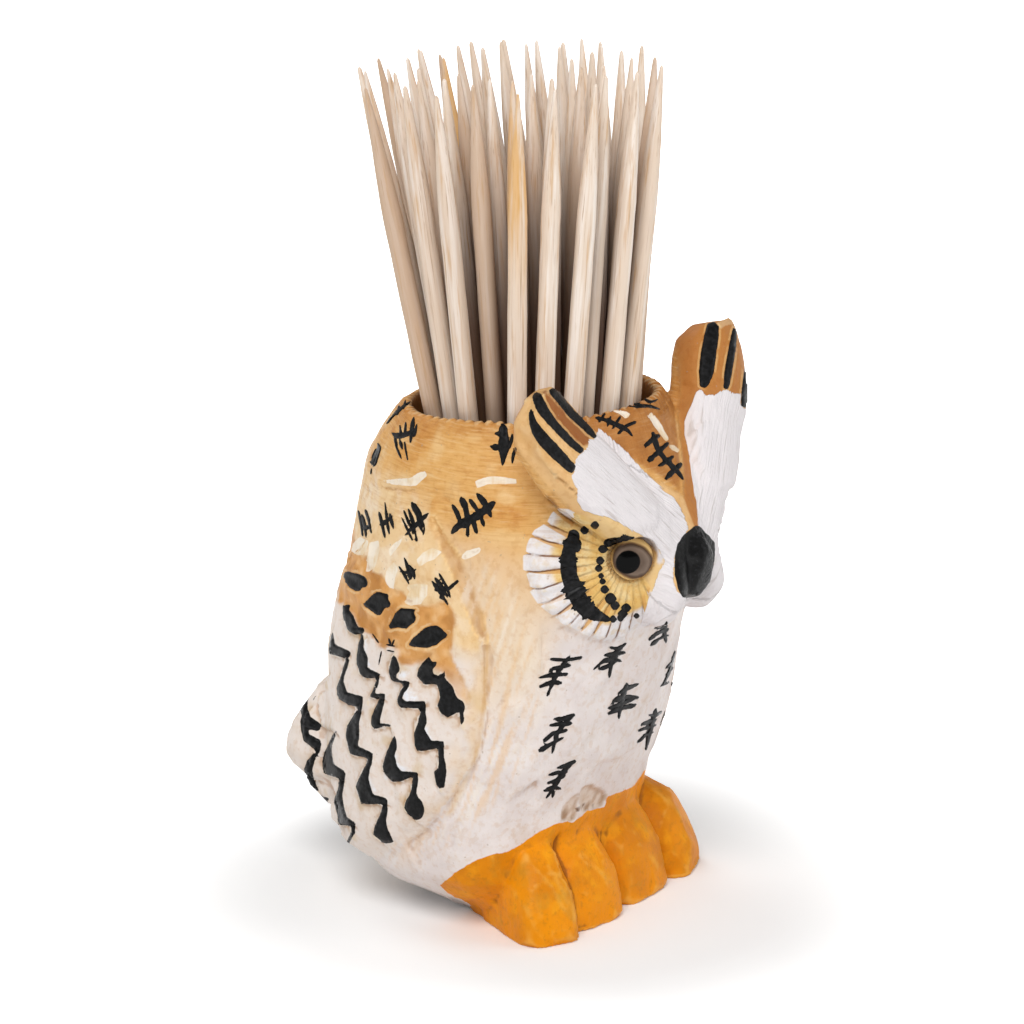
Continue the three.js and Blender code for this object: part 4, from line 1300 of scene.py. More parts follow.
under_brow = smooth(0.2, 0.6, zone["disc"]) * smooth(0.0, 0.4, zone["brow"]) * smooth(
    0.62, 0.5, zone["brow_share"],
)
colours = paint(colours, "#E8C58C", under_brow * (turn > 8))
# knife lines on the ear, the bare notch above the toes, and painted highlights on the wing and tail
for rows in KNIFE_LINES:
    knife = only(stroke_field(place, ear_close(rows)), is_near & (facing > 0))
    colours = paint(colours, "#8E5A26", smooth(-0.1, 0.08, knife) * 0.85)
notch_streak = noise(
    np.stack([place @ np.array([0.3, 0.15]), place @ np.array([0.03, -0.06]), 0 * z], -1), 1.0, 64,
)
colours = paint(colours, "#C2A58C", smooth(-0.1, 0.1, notch_field + 0.15 * soft_small) * 0.9)
colours = paint(colours, "#E2D3C6", smooth(0.0, 0.15, notch_field) * smooth(0.15, 0.5, notch_streak) * 0.8)
colours = paint(colours, "#96765A", smooth(0.05, 0.2, notch_field) * smooth(0.0, 0.5, -notch_streak) * 0.7)
for pit in feet_close(NOTCH_PITS):
    hole = (pit[2] - np.hypot(place[:, 0] - pit[0], place[:, 1] - pit[1])) / PIXELS_PER_MM
    colours = paint(
        colours, "#6E4C30", smooth(-0.08, 0.08, hole) * (facing > 0) * (z < 16) * (points[:, 0] < 0),
    )
# painted highlight: bluish-white patches for the lamps' reflection in pooled varnish
for shapes, crop in ((WING_PAINTED_HIGHLIGHTS, wing_close), (TAIL_PAINTED_HIGHLIGHTS, tail_close)):
    for rows in shapes:
        painted_highlight = only(field(place, crop(rows)), on_body & is_near)
        colours = paint(colours, "#F0F2F8", smooth(-0.05, 0.15, painted_highlight + 0.16 * soft_small) * 0.85)
# brushed ochre streaks down the flank, beside the wing
streak_at = np.stack(
    [place @ np.array([0.21, 0.07]), place @ np.array([0.012, -0.016]), points[:, 2] * 0], -1,
)
streak = noise(streak_at, 1.0, 62) + 0.5 * noise(streak_at * 2.1, 1.0, 63)
beside_wing = body_weight * smooth(
    1.5, -0.5, turn - wing_front,
) * smooth(24, 10, wing_front - turn) * smooth(42, 36, z) * smooth(3, 12, z)
colours = paint(colours, "#E6BD88", beside_wing * smooth(0.1, 0.7, streak) * 0.5)
colours = paint(colours, "#F0E4D4", beside_wing * smooth(0.2, 0.8, -streak) * 0.5)
# bare wood in the bore and under the base
colours = paint(colours, "#8F5F33", zone["bore"])
colours = paint(colours, "#C79C68", smooth(0.25, 0.05, z))
write_colour(skin, "paint", np.clip(colours, 0, 1))

white = np.where(is_near, field(place, face_close(NEAR_WHITE)), field(place, head_crop(FAR_WHITE)))
write_value(skin, "chalk", only(white, on_brow))
chin = smooth(30.9, 31.4, z) * smooth(-13.5, -14.5, points[:, 1]) * smooth(
    7.4, 6.8, np.abs(points[:, 0]),
) * smooth(-0.1, -0.3, normals[:, 2])
write_value(skin, "chin", chin)
orange = field(place, foot_crop(ORANGE_FEET))
orange = np.where(
    z < 15, np.maximum(only(orange, (facing > -0.05) & (turn < 100)), zone["toe"] + 0.3), OUTSIDE,
)
write_value(skin, "orange", np.clip(orange, OUTSIDE, -OUTSIDE))
black = only(zone["beak"], beak_weight > 0)
black = np.maximum(black, only(field(place, head_crop(BEAK_BLACK)), on_brow | (zone["beak"] > -1)))
black = np.maximum(black, spot_field)
# the feathers' edges that face away from the camera, just behind what it sees, are black too
own_facing = normals @ BACK
turned_away = np.nonzero(
    (
        own_facing < 0.02
    ) & (own_facing > -0.9) & (body_weight > 0.4) & (z < 34) & (turn > 70) & (points[:, 0] < 12),
)[0]
behind_lip = []
for point in points[turned_away]:
    far = np.linalg.norm(point - EYE_POINT)
    _, _, _, first = tree.ray_cast(Vector(EYE_POINT), Vector((point - EYE_POINT) / far))
    behind_lip.append(first is not None and far - first < 1.3)
behind_lip = np.array(behind_lip)
own_place = to_pixels(points[turned_away])
for shapes, crop in ((WING_BLACK, wing_close), (TAIL_BLACK, tail_close)):
    for outline in shapes:
        black = np.maximum(
            black, only(field(place, crop(outline)) + 0.05, on_body & is_near & (facing > 0.02)),
        )
        hidden_edge = only(field(own_place, crop(outline)) + 0.15, behind_lip)
        black[turned_away] = np.maximum(black[turned_away], hidden_edge)
# the same feathers carried on round the back, which the photograph doesn't show
for row in range(5):
    for column in range(-1, 2):
        at_x, at_z = column * 5.2 + (2.6 if row % 2 else 0), 7.6 + row * 4.7
        if abs(at_x) > 6:
            continue
        across, rise = np.abs(points[:, 0] - at_x), z - at_z
        bar = 0.75 + 0.5 * smooth(2.6, 0, across) - np.abs(rise - 0.75 * across)
        bar = np.minimum(bar, 2.5 - across)
        away_from_camera = (facing < 0.12) | (np.abs(points[:, 0]) < 7.2)
        black = np.maximum(
            black,
            only(
                np.minimum(bar, 1),
                (body_weight > 0.3) & (points[:, 1] > 8) & away_from_camera & (black < -0.5),
            ),
        )
black = np.maximum(black, stripe_field)
on_disc = (zone["disc"] > -1) & is_near
black = np.maximum(black, drawn(stroke_field, place, (CRESCENT, LASH), disc_close, on_disc))
itself = np.where(points[:, 0] < 0, is_near, ~is_near)
seen_part = itself & (facing > 0.06) & (zone["bore"] < 0.5)
for lines, crop in STROKE_SETS:
    black = np.maximum(black, drawn(stroke_field, place, lines, crop, seen_part))
write_value(skin, "ink", np.clip(black, OUTSIDE, -OUTSIDE))
write_value(skin, "chip", chip_field)
write_value(skin, "spot", spot_field)
write_value(skin, "stripe", stripe_field)
write_value(skin, "toe_edge", toe_edge)
write_value(skin, "toe_crease", zone["toe_crease"])
# the rays of the discs: their count round the eye, the distance from it, and the distance inside their edge
write_value(skin, "ray", (zone["disc_angle"] / (2 * math.pi) + 0.5) * RAYS + 0.5)
write_value(skin, "ray_reach", zone["disc_reach"])
q_place = to_pixels(q)
disc_inside = polygon_distance(q_place, np.array(disc_close(DISC_OUTLINE))) / PIXELS_PER_MM
write_value(skin, "disc", np.clip(only(disc_inside, zone["disc"] > -2.5), OUTSIDE, 12))
yellow_inside = polygon_distance(q_place, np.array(disc_close(DISC_YELLOW))) / PIXELS_PER_MM
no_plates = smooth(-0.1, 0.1, yellow_inside)
write_value(skin, "disc_share", zone["disc_share"] + (0.5 - zone["disc_share"]) * no_plates)
write_value(skin, "disc_part", (1 - smooth(0.6, 1.2, zone["brow"])) * smooth(-3.0, -2.0, zone["disc"]))
# the way of the knife and the brush: along, across and out, in millimetres
along = np.stack([z, np.radians(turn) * 15, radius], -1)
brow_d, brow_share, _ = line_distance(q, BROW_LINE)
brow_across = q @ np.array([0.72, 0.1, 0.69])
along = np.where(
    (zone["brow"] > 0.5)[:, None], np.stack([brow_share * 26, brow_across * 1.0, brow_d], -1), along,
)
write_vector(skin, "strand", along)
top_weight = smooth(40, 44, z) * (zone["brow"] < 0.5) * (1 - zone["bore"]) * (1 - 0.6 * forehead)
write_value(skin, "chatter", top_weight)


# Materials

# The kinds of node: type, settings, the inputs that values go to in turn, and the output that is used.
KINDS = {
    "place": ("ShaderNodeTexCoord", {}, (), "Object"),
    "value": ("ShaderNodeAttribute", {}, (), "Fac"),
    "colour": ("ShaderNodeAttribute", {}, (), "Color"),
    "vector": ("ShaderNodeAttribute", {}, (), "Vector"),
    "scale": ("ShaderNodeVectorMath", {"operation": "MULTIPLY"}, (0, 1), 0),
    "length": ("ShaderNodeVectorMath", {"operation": "LENGTH"}, (0,), "Value"),
    "noise": ("ShaderNodeTexNoise", {}, ("Vector", "Scale", "Detail", "Roughness"), "Fac"),
    "toss": ("ShaderNodeTexWhiteNoise", {"noise_dimensions": "1D"}, ("W",), "Value"),
    "step": ("ShaderNodeMapRange", {"interpolation_type": "SMOOTHSTEP"}, (0, 1, 2, 3, 4), 0),
    "range": ("ShaderNodeMapRange", {}, (0, 1, 2, 3, 4), 0),
    "mix": ("ShaderNodeMix", {"data_type": "RGBA"}, (6, 7, 0), 2),
    "glaze": ("ShaderNodeMix", {"data_type": "RGBA", "blend_type": "MULTIPLY"}, (6, 7, 0), 2),
    "bands": ("ShaderNodeValToRGB", {}, ("Fac",), 0),
    "bump": ("ShaderNodeBump", {}, ("Strength", "Distance", "Height"), 0),
    "surface": (
        "ShaderNodeBsdfPrincipled", {}, ("Base Color", "Roughness", "Specular IOR Level", "Normal"), 0,
    ),
    "matt": ("ShaderNodeBsdfDiffuse", {}, ("Color",), 0),
    "glow": ("ShaderNodeEmission", {}, ("Color", "Strength"), 0),
    "both": ("ShaderNodeAddShader", {}, (0, 1), 0),
    "sky": ("ShaderNodeBackground", {}, ("Color", "Strength"), 0),
    "rays": ("ShaderNodeLightPath", {}, (), 0),
}
for maths in ("ADD", "SUBTRACT", "MULTIPLY", "MAXIMUM", "PINGPONG", "FLOOR", "FRACT"):
    KINDS[maths] = ("ShaderNodeMath", {"operation": maths}, (0, 1), 0)


def colour_value(hex_colour):
    return linear(hex_colour) + (1.0,)


def node_maker(material):
    """A function that adds nodes to a material or to the world."""
    material.use_nodes = True
    web = material.node_tree
    web.nodes.clear()

    def add(kind, *values, **settings):
        """Adds a node, sets or links its inputs in turn, and gives its output."""
        type_name, usual, inputs, output = KINDS[kind]
        node = web.nodes.new(type_name)
        for key, value in {**usual, **settings}.items():
            setattr(node, key, value)
        for key, value in zip(inputs, values):
            if isinstance(value, bpy.types.NodeSocket):
                web.links.new(value, node.inputs[key])
            elif isinstance(value, str):
                node.inputs[key].default_value = colour_value(value)
            else:
                node.inputs[key].default_value = value
        return node.outputs[output]

    return add


def put_out(material, kind, socket):
    """Links the last node to the output."""
    material.node_tree.links.new(socket, material.node_tree.nodes.new(kind).inputs[0])


def set_bands(socket, stops):
    """Colours at shares of the way along, on the node that a socket belongs to."""
    elements = socket.node.color_ramp.elements
    while len(elements) < len(stops):
        elements.new(0.5)
    for element, (position, hex_colour) in zip(elements, stops):
        element.position = position
        element.color = colour_value(hex_colour)


def feather_discs(add, base, place, wash, speck, ragged):
    """Rays of the discs: V grooves between feathers with ragged tips, painted shade down the grooves and in
    the notches at the tips.
    """
    ray = add("value", attribute_name="ray")
    off = add("PINGPONG", ray, 0.5)
    reach = add("value", attribute_name="ray_reach")
    disc_mm = add("value", attribute_name="disc")
    disc_share = add("value", attribute_name="disc_share")
    disc_part = add("value", attribute_name="disc_part")
    ray_number = add("FLOOR", ray)
    ray_tone = add("toss", ray_number)
    groove_mm = add("MULTIPLY", add("MULTIPLY", off, reach), 2 * math.pi / RAYS)
    notch = add("MULTIPLY", add("step", off, 0.14, 0.0), 0.4)
    inside = add("SUBTRACT", disc_mm, add("ADD", notch, add("MULTIPLY", ray_tone, 0.25)))
    inside = add("ADD", inside, 0.25)
    disc_mask = add(
        "MULTIPLY", add("step", add("ADD", inside, add("MULTIPLY", ragged, 0.25)), -0.06, 0.08), disc_part,
    )
    yellow = add("mix", "#E3B96E", "#EBD19A", add("step", wash, 0.42, 0.62))
    yellow = add("mix", yellow, "#D29A48", add("MULTIPLY", add("step", speck, 0.5, 0.75), 0.5))
    pale = add(
        "mix",
        "#E8E3E3",
        "#E2D0B4",
        add("MULTIPLY", add("step", add("noise", place, 900, 3, 0.55), 0.5, 0.7), 0.6),
    )
    white_from = add("ADD", 0.6, add("MULTIPLY", ray_tone, 0.22))
    rays = add("mix", yellow, pale, add("step", add("SUBTRACT", disc_share, white_from), -0.02, 0.06))
    wedge_width = add("MULTIPLY", add("SUBTRACT", 1.03, disc_share), 1.15)
    wedge = add(
        "MULTIPLY",
        add("step", add("SUBTRACT", wedge_width, add("FRACT", ray)), -0.04, 0.04),
        add("step", disc_share, 0.5, 0.56),
    )
    wedge = add("MULTIPLY", wedge, add("step", ray_tone, 0.25, 0.4))
    rays = add("mix", rays, "#D8A45C", add("MULTIPLY", wedge, 0.85))
    # painted shade: dark brown down the grooves
    groove_shade = add("MULTIPLY", add("step", groove_mm, 0.13, 0.04), add("step", disc_share, 0.25, 0.85))
    rays = add(
        "mix",
        rays,
        "#6A3C16",
        add("MULTIPLY", groove_shade, add("MULTIPLY", add("step", wash, 0.35, 0.52), 0.9)),
    )
    base = add("mix", base, rays, disc_mask)
    # painted shade: brown in the notches at the feathers' tips
    tips = add(
        "MULTIPLY",
        add("MULTIPLY", add("step", inside, -0.9, -0.1), add("step", inside, 0.05, -0.1)),
        disc_part,
    )
    base = add(
        "mix",
        base,
        "#B98750",
        add("MULTIPLY", add("MULTIPLY", tips, add("step", disc_mm, -0.1, 0.15)), 0.25),
    )
    return base, disc_mask, groove_mm


def bare_edges(add, base, wash, ragged):
    """Thin pale edges left round the black spots and beside the stripes of the ears."""
    spot = add("value", attribute_name="spot")
    spot_edge = add(
        "MULTIPLY", add("step", add("ADD", spot, ragged), -0.34, -0.24), add("step", spot, -0.04, -0.12),
    )
    base = add(
        "mix",
        base,
        "#EBCB9A",
        add("MULTIPLY", add("MULTIPLY", spot_edge, add("step", wash, 0.42, 0.56)), 0.6),
    )
    stripe = add("value", attribute_name="stripe")
    stripe_edge = add(
        "MULTIPLY",
        add("step", add("ADD", stripe, add("MULTIPLY", ragged, 0.5)), -0.26, -0.16),
        add("step", stripe, 0.05, -0.05),
    )
    base = add(
        "mix",
        base,
        "#D9AC70",
        add("MULTIPLY", add("MULTIPLY", stripe_edge, add("step", wash, 0.4, 0.52)), 0.75),
    )
    return base


def thin_washes(add, base, place, wash, level, chatter):
    """Washes: paint pools and thins, and on the head it follows the chatter of the knife, with painted
    highlight in its lighter bands.
    """
    mottle = add("step", add("noise", place, 1500, 3, 0.55), 0.5, 0.66)
    base = add("glaze", base, (0.80, 0.62, 0.44, 1), add("MULTIPLY", mottle, 0.28))
    base = add("glaze", base, (0.78, 0.62, 0.40, 1), add("MULTIPLY", add("step", wash, 0.52, 0.74), 0.25))
    base = add(
        "glaze",
        base,
        (0.66, 0.44, 0.22, 1),
        add("MULTIPLY", add("MULTIPLY", add("step", level, 0.5, 0.64), chatter), 0.3),
    )
    # painted highlight: lighter yellow bands along the knife's chatter
    base = add(
        "mix",
        base,
        (0.95, 0.76, 0.46, 1),
        add("MULTIPLY", add("MULTIPLY", add("step", level, 0.48, 0.3), chatter), 0.2),
    )
    return base


def pores_shade_and_wear(add, base, place, speck, bend_value):
    """Sparse dark pores, painted shade in the creases, and bare wood on worn edges."""
    pores = add("step", add("noise", place, 2100, 1, 0.55), 0.74, 0.79)
    base = add("mix", base, (0.42, 0.30, 0.20, 1), add("MULTIPLY", pores, 0.5))
    # painted shade: darker tan in the skin's creases
    crease = add("step", bend_value, -0.35, -1.3)
    base = add("mix", base, "#B27C42", add("MULTIPLY", crease, 0.42))
    worn = add(
        "MULTIPLY",
        add("step", add("ADD", bend_value, add("MULTIPLY", add("SUBTRACT", speck, 0.5), 0.8)), 0.8, 1.6),
        0.4,
    )
    base = add("mix", base, "#EAD2A6", worn)
    return base


def chalk_brows(add, base, strand, fibre):
    """Chalk white on the brows, brushed lengthwise so that wood shows between the strokes."""
    chalk = add("value", attribute_name="chalk")
    end_at = add("scale", strand, (0.1, 4.2, 0.2))
    ends = add("SUBTRACT", add("noise", end_at, 1.0, 3, 0.55), 0.5)
    chalk_mask = add("step", add("ADD", chalk, add("MULTIPLY", ends, 0.55)), -0.03, 0.05)
    streaks = add("step", fibre, 0.56, 0.72)
    chalk_colour = add("mix", "#EBE5E6", "#BBAFA8", add("MULTIPLY", streaks, 0.55))
    base = add("mix", base, chalk_colour, chalk_mask)
    return base, chalk_mask


def orange_feet(add, base, place, wash, ragged, bend_value):
    """Orange paint on the toes, with painted highlight and wear along their edges and painted shade in their
    creases.
    """
    broad = add("noise", place, 130, 3, 0.55)
    orange = add("value", attribute_name="orange")
    orange_mask = add("step", add("ADD", orange, add("MULTIPLY", ragged, 0.5)), -0.05, 0.05)
    colour = add("mix", "#EA9000", "#D47E00", add("step", broad, 0.42, 0.68))
    colour = add("mix", colour, "#EFA012", add("MULTIPLY", add("step", wash, 0.50, 0.68), 0.6))
    colour = add(
        "mix",
        colour,
        "#B06C10",
        add("MULTIPLY", add("step", add("noise", place, 1800, 3, 0.55), 0.52, 0.72), 0.35),
    )
    # painted highlight and wear: pale lines along the toes' edges
    toe_edge_highlight_and_wear = add(
        "MULTIPLY",
        add(
            "MULTIPLY",
            add("step", add("ADD", add("value", attribute_name="toe_edge"), ragged), -0.3, 0.05),
            add("step", wash, 0.42, 0.62),
        ),
        0.35,
    )
    colour = add("mix", colour, "#EDB04A", toe_edge_highlight_and_wear)
    colour = add(
        "mix",
        colour,
        "#C08A28",
        add("MULTIPLY", add("step", add("noise", place, 330, 4, 0.55), 0.54, 0.72), 0.45),
    )
    # painted shade: dark brown in the toes' creases
    colour = add("mix", colour, "#8A4B0C", add("MULTIPLY", add("step", bend_value, -0.3, -1.2), 0.7))
    colour = add("mix", colour, "#8F520E", add("MULTIPLY", add("value", attribute_name="toe_crease"), 0.6))
    colour = add("mix", colour, "#F0B24E", add("MULTIPLY", add("step", bend_value, 0.35, 1.2), 0.5))
    base = add("mix", base, colour, orange_mask)
    return base


def carved_paint():
    """Carved wood under thin water-based paint, brushed on by hand."""
    material = bpy.data.materials.new("painted_wood")
    add = node_maker(material)

    place = add("place")
    strand = add("vector", attribute_name="strand")
    fibre_at = add("scale", strand, (0.16, 2.6, 0.4))
    fibre = add("noise", fibre_at, 1.3, 4, 0.55)
    level_at = add("scale", place, (380, 380, 4300))
    level = add("noise", level_at, 1.0, 3, 0.6)
    wash = add("noise", place, 420, 5, 0.55)
    speck = add("noise", place, 2600, 2, 0.55)
    ragged = add("MULTIPLY", add("SUBTRACT", add("noise", place, 1500, 3, 0.55), 0.5), 0.55)
    bend_value = add("value", attribute_name="bend")
    chatter = add("value", attribute_name="chatter")

    base = add("colour", attribute_name="paint")
    base, disc_mask, groove_mm = feather_discs(add, base, place, wash, speck, ragged)
    base = bare_edges(add, base, wash, ragged)
    base = thin_washes(add, base, place, wash, level, chatter)
    chip = add("value", attribute_name="chip")
    chip_mask = add("step", add("ADD", chip, add("MULTIPLY", ragged, 0.3)), -0.02, 0.05)
    chip_colour = add(
        "mix", "#F4E9D8", "#E6CBA0", add("step", add("ADD", wash, add("MULTIPLY", fibre, 0.3)), 0.56, 0.86),
    )
    base = add("mix", base, chip_colour, add("MULTIPLY", chip_mask, 0.92))
    chin = add("value", attribute_name="chin")
    base = add("mix", base, "#E6DFDF", add("MULTIPLY", chin, add("SUBTRACT", 1.0, disc_mask)))
    base = pores_shade_and_wear(add, base, place, speck, bend_value)
    base, chalk_mask = chalk_brows(add, base, strand, fibre)
    base = orange_feet(add, base, place, wash, ragged, bend_value)
    # the black, over everything else
    ink = add("value", attribute_name="ink")
    ink_mask = add("step", add("ADD", ink, add("MULTIPLY", ragged, 0.3)), -0.02, 0.03)
    ink_colour = add("mix", "#080808", "#262629", add("MULTIPLY", add("step", speck, 0.54, 0.72), 0.7))
    base = add("mix", base, ink_colour, ink_mask)

    rough = add("ADD", 0.5, add("MULTIPLY", add("SUBTRACT", wash, 0.5), 0.35))
    rough = add("SUBTRACT", rough, add("MULTIPLY", ink_mask, 0.12))
    bump_height = add("ADD", add("MULTIPLY", fibre, 0.5), add("MULTIPLY", speck, 0.4))
    bump_height = add("ADD", bump_height, add("MULTIPLY", wash, 0.8))
    bump_height = add("ADD", bump_height, add("MULTIPLY", add("MULTIPLY", level, chatter), 0.9))
    bump_height = add("ADD", bump_height, add("MULTIPLY", chalk_mask, add("MULTIPLY", fibre, 2.2)))
    bump_height = add(
        "SUBTRACT",
        bump_height,
        add("MULTIPLY", add("MULTIPLY", add("step", groove_mm, 0.2, 0.0), disc_mask), 0.8),
    )
    bump = add("bump", 0.6, 0.0002, bump_height)
    shader = add("surface", base, rough, 0.16, bump)
    put_out(material, "ShaderNodeOutputMaterial", shader)
    return material


def black_paint():
    """Black paint laid on in short thick strokes, glossier where it pooled."""
    material = bpy.data.materials.new("black_paint")
    add = node_maker(material)
    place = add("place")
    speck = add("noise", place, 2400, 3)
    pool = add("noise", place, 260, 2)
    tint = add("bands", speck)
    set_bands(tint, [(0.4, "#060606"), (0.75, "#1E1E20")])
    rough = add("range", pool, 0.45, 0.66, 0.6, 0.28)
    bump = add("bump", 0.5, 0.00008, speck)
    shader = add("surface", tint, rough, 0.14, bump)
    put_out(material, "ShaderNodeOutputMaterial", shader)
    return material


def birch_wood():
    """Bare birch, turned and tumbled: fine lengthwise grain with a few darker streaks."""
    material = bpy.data.materials.new("birch")
    add = node_maker(material)
    strand = add("vector", attribute_name="strand")
    tone = add("value", attribute_name="tone")
    gold = add("value", attribute_name="gold")
    inner = add("value", attribute_name="inner")
    # the grain: noise drawn out along the stick, in three widths
    fine = add("noise", add("scale", strand, (5.5, 5.5, 0.11)), 1.0, 4, 0.6)
    wide = add("noise", add("scale", strand, (1.6, 1.6, 0.06)), 1.0, 2, 0.6)
    middling = add("noise", add("scale", strand, (2.4, 2.4, 0.12)), 1.0, 3, 0.6)
    base = add("mix", "#E8D5C2", "#F5E9DD", add("step", wide, 0.45, 0.65))
    base = add("mix", base, "#D7B187", add("step", middling, 0.52, 0.72, 0.0, 0.8))
    base = add("mix", base, "#B08A66", add("step", fine, 0.55, 0.74, 0.0, 0.75))
    base = add("mix", base, "#C3A284", add("step", tone, 0.55, 1.0, 0.0, 0.75))
    # painted shade on picks deep in the bundle
    base = add("mix", base, "#573620", inner)
    gold_part = add("MULTIPLY", gold, add("step", wide, 0.3, 0.6, 0.0, 0.75))
    base = add("mix", base, "#DDA23E", gold_part)
    bump = add("bump", 0.45, 0.0001, fine)
    shader = add("surface", base, 0.62, 0.3, bump)
    put_out(material, "ShaderNodeOutputMaterial", shader)
    return material


painted = carved_paint()
ink_paint = black_paint()
birch = birch_wood()
skin.data.materials.append(painted)
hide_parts("owl_body")
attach(skin, "owl")


# Strokes of black paint, laid on the skin.

class Strokes:
    def __init__(self):
        self.points = []
        self.faces = []

    def ribbon(self, rings):
        """rings: for each step along the stroke, the same number of points across it."""
        start = len(self.points)
        across = len(rings[0])
        for one in rings:
            self.points.extend(one)
        for r in range(len(rings) - 1):
            for c in range(across - 1):
                a = start + r * across + c
                self.faces.append((a, a + 1, a + 1 + across, a + across))


strokes = Strokes()
PROFILE = [
    (-1.0, -0.05), (-0.93, 0.04), (-0.62, 0.075), (-0.3, 0.09), (0.0, 0.095), (0.3, 0.09), (0.62, 0.075),
    (0.93, 0.04), (1.0, -0.05),
]


def settle(point):
    """The skin's place and outward way next to a point."""
    place, way, _, _ = tree.find_nearest(Vector(point))
    return np.array(place), np.array(way)


stroke_seed = np.random.RandomState(17)


def lay_pixels(rows, height=1.0, mirror=True, ragged=0.18, step=1.6, widen=1.1, extra=0.2):
    """A stroke traced in the picture, cast onto the skin from the camera."""
    line = smooth_rows(resample(rows, step), 2)
    heading = np.gradient(line[:, :2], axis=0)
    heading /= np.maximum(np.linalg.norm(heading, axis=1), 1e-6)[:, None]
    aside = np.stack([-heading[:, 1], heading[:, 0]], -1)
    count = len(line)
    wobble = 1 + ragged * np.convolve(
        stroke_seed.normal(0, 1, count + 4), np.ones(5) / 2.2, "valid",
    )[:count]
    tips = np.minimum(np.arange(count), np.arange(count)[::-1]) / 1.5
    round_end = np.sqrt(np.clip(tips + 0.1, 0, 1))
    runs, current, last = [], [], None
    for i in range(count):
        middle, way = hit_pixel(tree, line[i, 0], line[i, 1])
        lost = middle is None or way @ BACK < 0.06
        if lost or (last is not None and np.linalg.norm(middle - last) > 1.1):
            if len(current) > 2:
                runs.append(current)
            current = []
        last = None if lost else middle
        if lost:
            continue
        half = (line[i, 2] * widen + extra) * wobble[i] * round_end[i]
        ring = []
        for share, rise in PROFILE:
            x, y = line[i, :2] + aside[i] * half * share
            place, normal = hit_pixel(tree, x, y)
            if place is None or np.linalg.norm(place - middle) > 0.16 * half + 0.5:
                side_way = RIGHT * aside[i, 0] - UP * aside[i, 1]
                flat = side_way - way * (side_way @ way)
                place, normal = settle(middle + flat * half * share * 0.1)
            ring.append(place + normal * rise * height)
        current.append(ring)
    if len(current) > 2:
        runs.append(current)
    for run in runs:
        strokes.ribbon(run)
        mean = np.mean([np.mean(ring, 0) for ring in run], 0)
        if mirror and math.degrees(math.atan2(-mean[0], -mean[1])) > 33:
            # moved on round the body where the mirrored stroke would be seen beside the traced ones
            _, way = settle(mean * np.array([-1, 1, 1]))
            onward = 0.2 if way @ BACK > -0.12 else 0.0
            flipped = []
            for ring in run:
                fresh = []
                for (share, rise), point in zip(PROFILE, ring[::-1]):
                    x, y = -point[0], point[1]
                    moved = (
                        x * math.cos(onward) - y * math.sin(onward),
                        x * math.sin(onward) + y * math.cos(onward),
                        point[2],
                    )
                    place, normal = settle(moved)
                    fresh.append(place + normal * rise * height)
                flipped.append(fresh)
            strokes.ribbon(flipped)


def lay_patch(corners, mirror=True, rise=0.1, ragged=0.45):
    """A patch of paint whose outline is drawn in the picture, cast onto the skin."""
    loop = np.array(corners, float)
    loop = resample(np.concatenate([loop, loop[:1]]), 1.3)[:-1]
    loop += stroke_seed.normal(0, ragged, loop.shape) * 0.6
    low, high = loop.min(0), loop.max(0)
    xs, ys = np.arange(low[0], high[0], 1.5), np.arange(low[1], high[1], 1.5)
    grid = np.stack(np.meshgrid(xs, ys), -1).reshape(-1, 2)
    grid = grid[polygon_distance(grid, loop) > 0.7]
    flat = [Vector(p) for p in loop] + [Vector(p) for p in grid]
    ring = [list(range(len(loop)))]
    verts, _, tris, _, _, _ = delaunay_2d_cdt(flat, [], ring, 1, 1e-4)
    inside = polygon_distance(np.array([tuple(v) for v in verts]), loop)
    raised = np.clip(inside / 0.7, 0, 1) * (rise + 0.05) - 0.05
    spots_3d, ways = [], []
    for v in verts:
        at, way = hit_pixel(tree, v[0], v[1])
        spots_3d.append(at)
        ways.append(way)
    known = [p for p in spots_3d if p is not None]
    if not known:
        return
    middle = np.median(np.array(known), 0)
    for side in (1, -1) if mirror else (1,):
        index = {}
        for i, (at, way) in enumerate(zip(spots_3d, ways)):
            if at is None or way @ BACK < 0.08 or np.linalg.norm(at - middle) > 11:
                continue
            if side < 0:
                at, way = settle(at * np.array([-1, 1, 1]))
            index[i] = len(strokes.points)
            strokes.points.append(at + way * raised[i])
        for tri in tris:
            if not all(i in index for i in tri):
                continue
            corners_3d = np.array([strokes.points[index[i]] for i in tri])
            longest = max(np.linalg.norm(corners_3d[i] - corners_3d[i - 1]) for i in range(3))
            if longest < 1.3:
                strokes.faces.append(tuple(index[i] for i in (tri if side > 0 else tri[::-1])))


def lay_dot(x, y, radius, mirror=True):
    rows = [
        (x - radius * 0.92, y, radius * 0.35),
        (x - radius * 0.45, y, radius * 0.92),
        (x, y, radius),
        (x + radius * 0.45, y, radius * 0.92),
        (x + radius * 0.92, y, radius * 0.35),
    ]
    lay_pixels(rows, mirror=mirror, step=max(0.5, radius / 4), ragged=0.08, widen=1.0, extra=0)


def lay_behind(x, z, lean):
    """A feather mark on the nape's back, which the photograph doesn't show."""
    for start, end, half in BACK_MARK:
        rings = []
        run = np.array(end) - np.array(start)
        aside = np.array([-run[1], run[0]]) / np.linalg.norm(run)
        for t in np.linspace(0, 1, 9):
            middle = np.array([x, z]) + np.array(start) + run * t + aside * lean * math.sin(3 * t)
            width = half * (0.25 + math.sin(math.pi * t) ** 0.5)
            ring = []
            for share, rise in PROFILE:
                across, high = middle + aside * width * share
                at, way, _, _ = tree.ray_cast(Vector((across, 60, high)), Vector((0, -1, 0)))
                ring.append(np.array(at) + np.array(way) * rise)
            rings.append(ring)
        strokes.ribbon(rings)


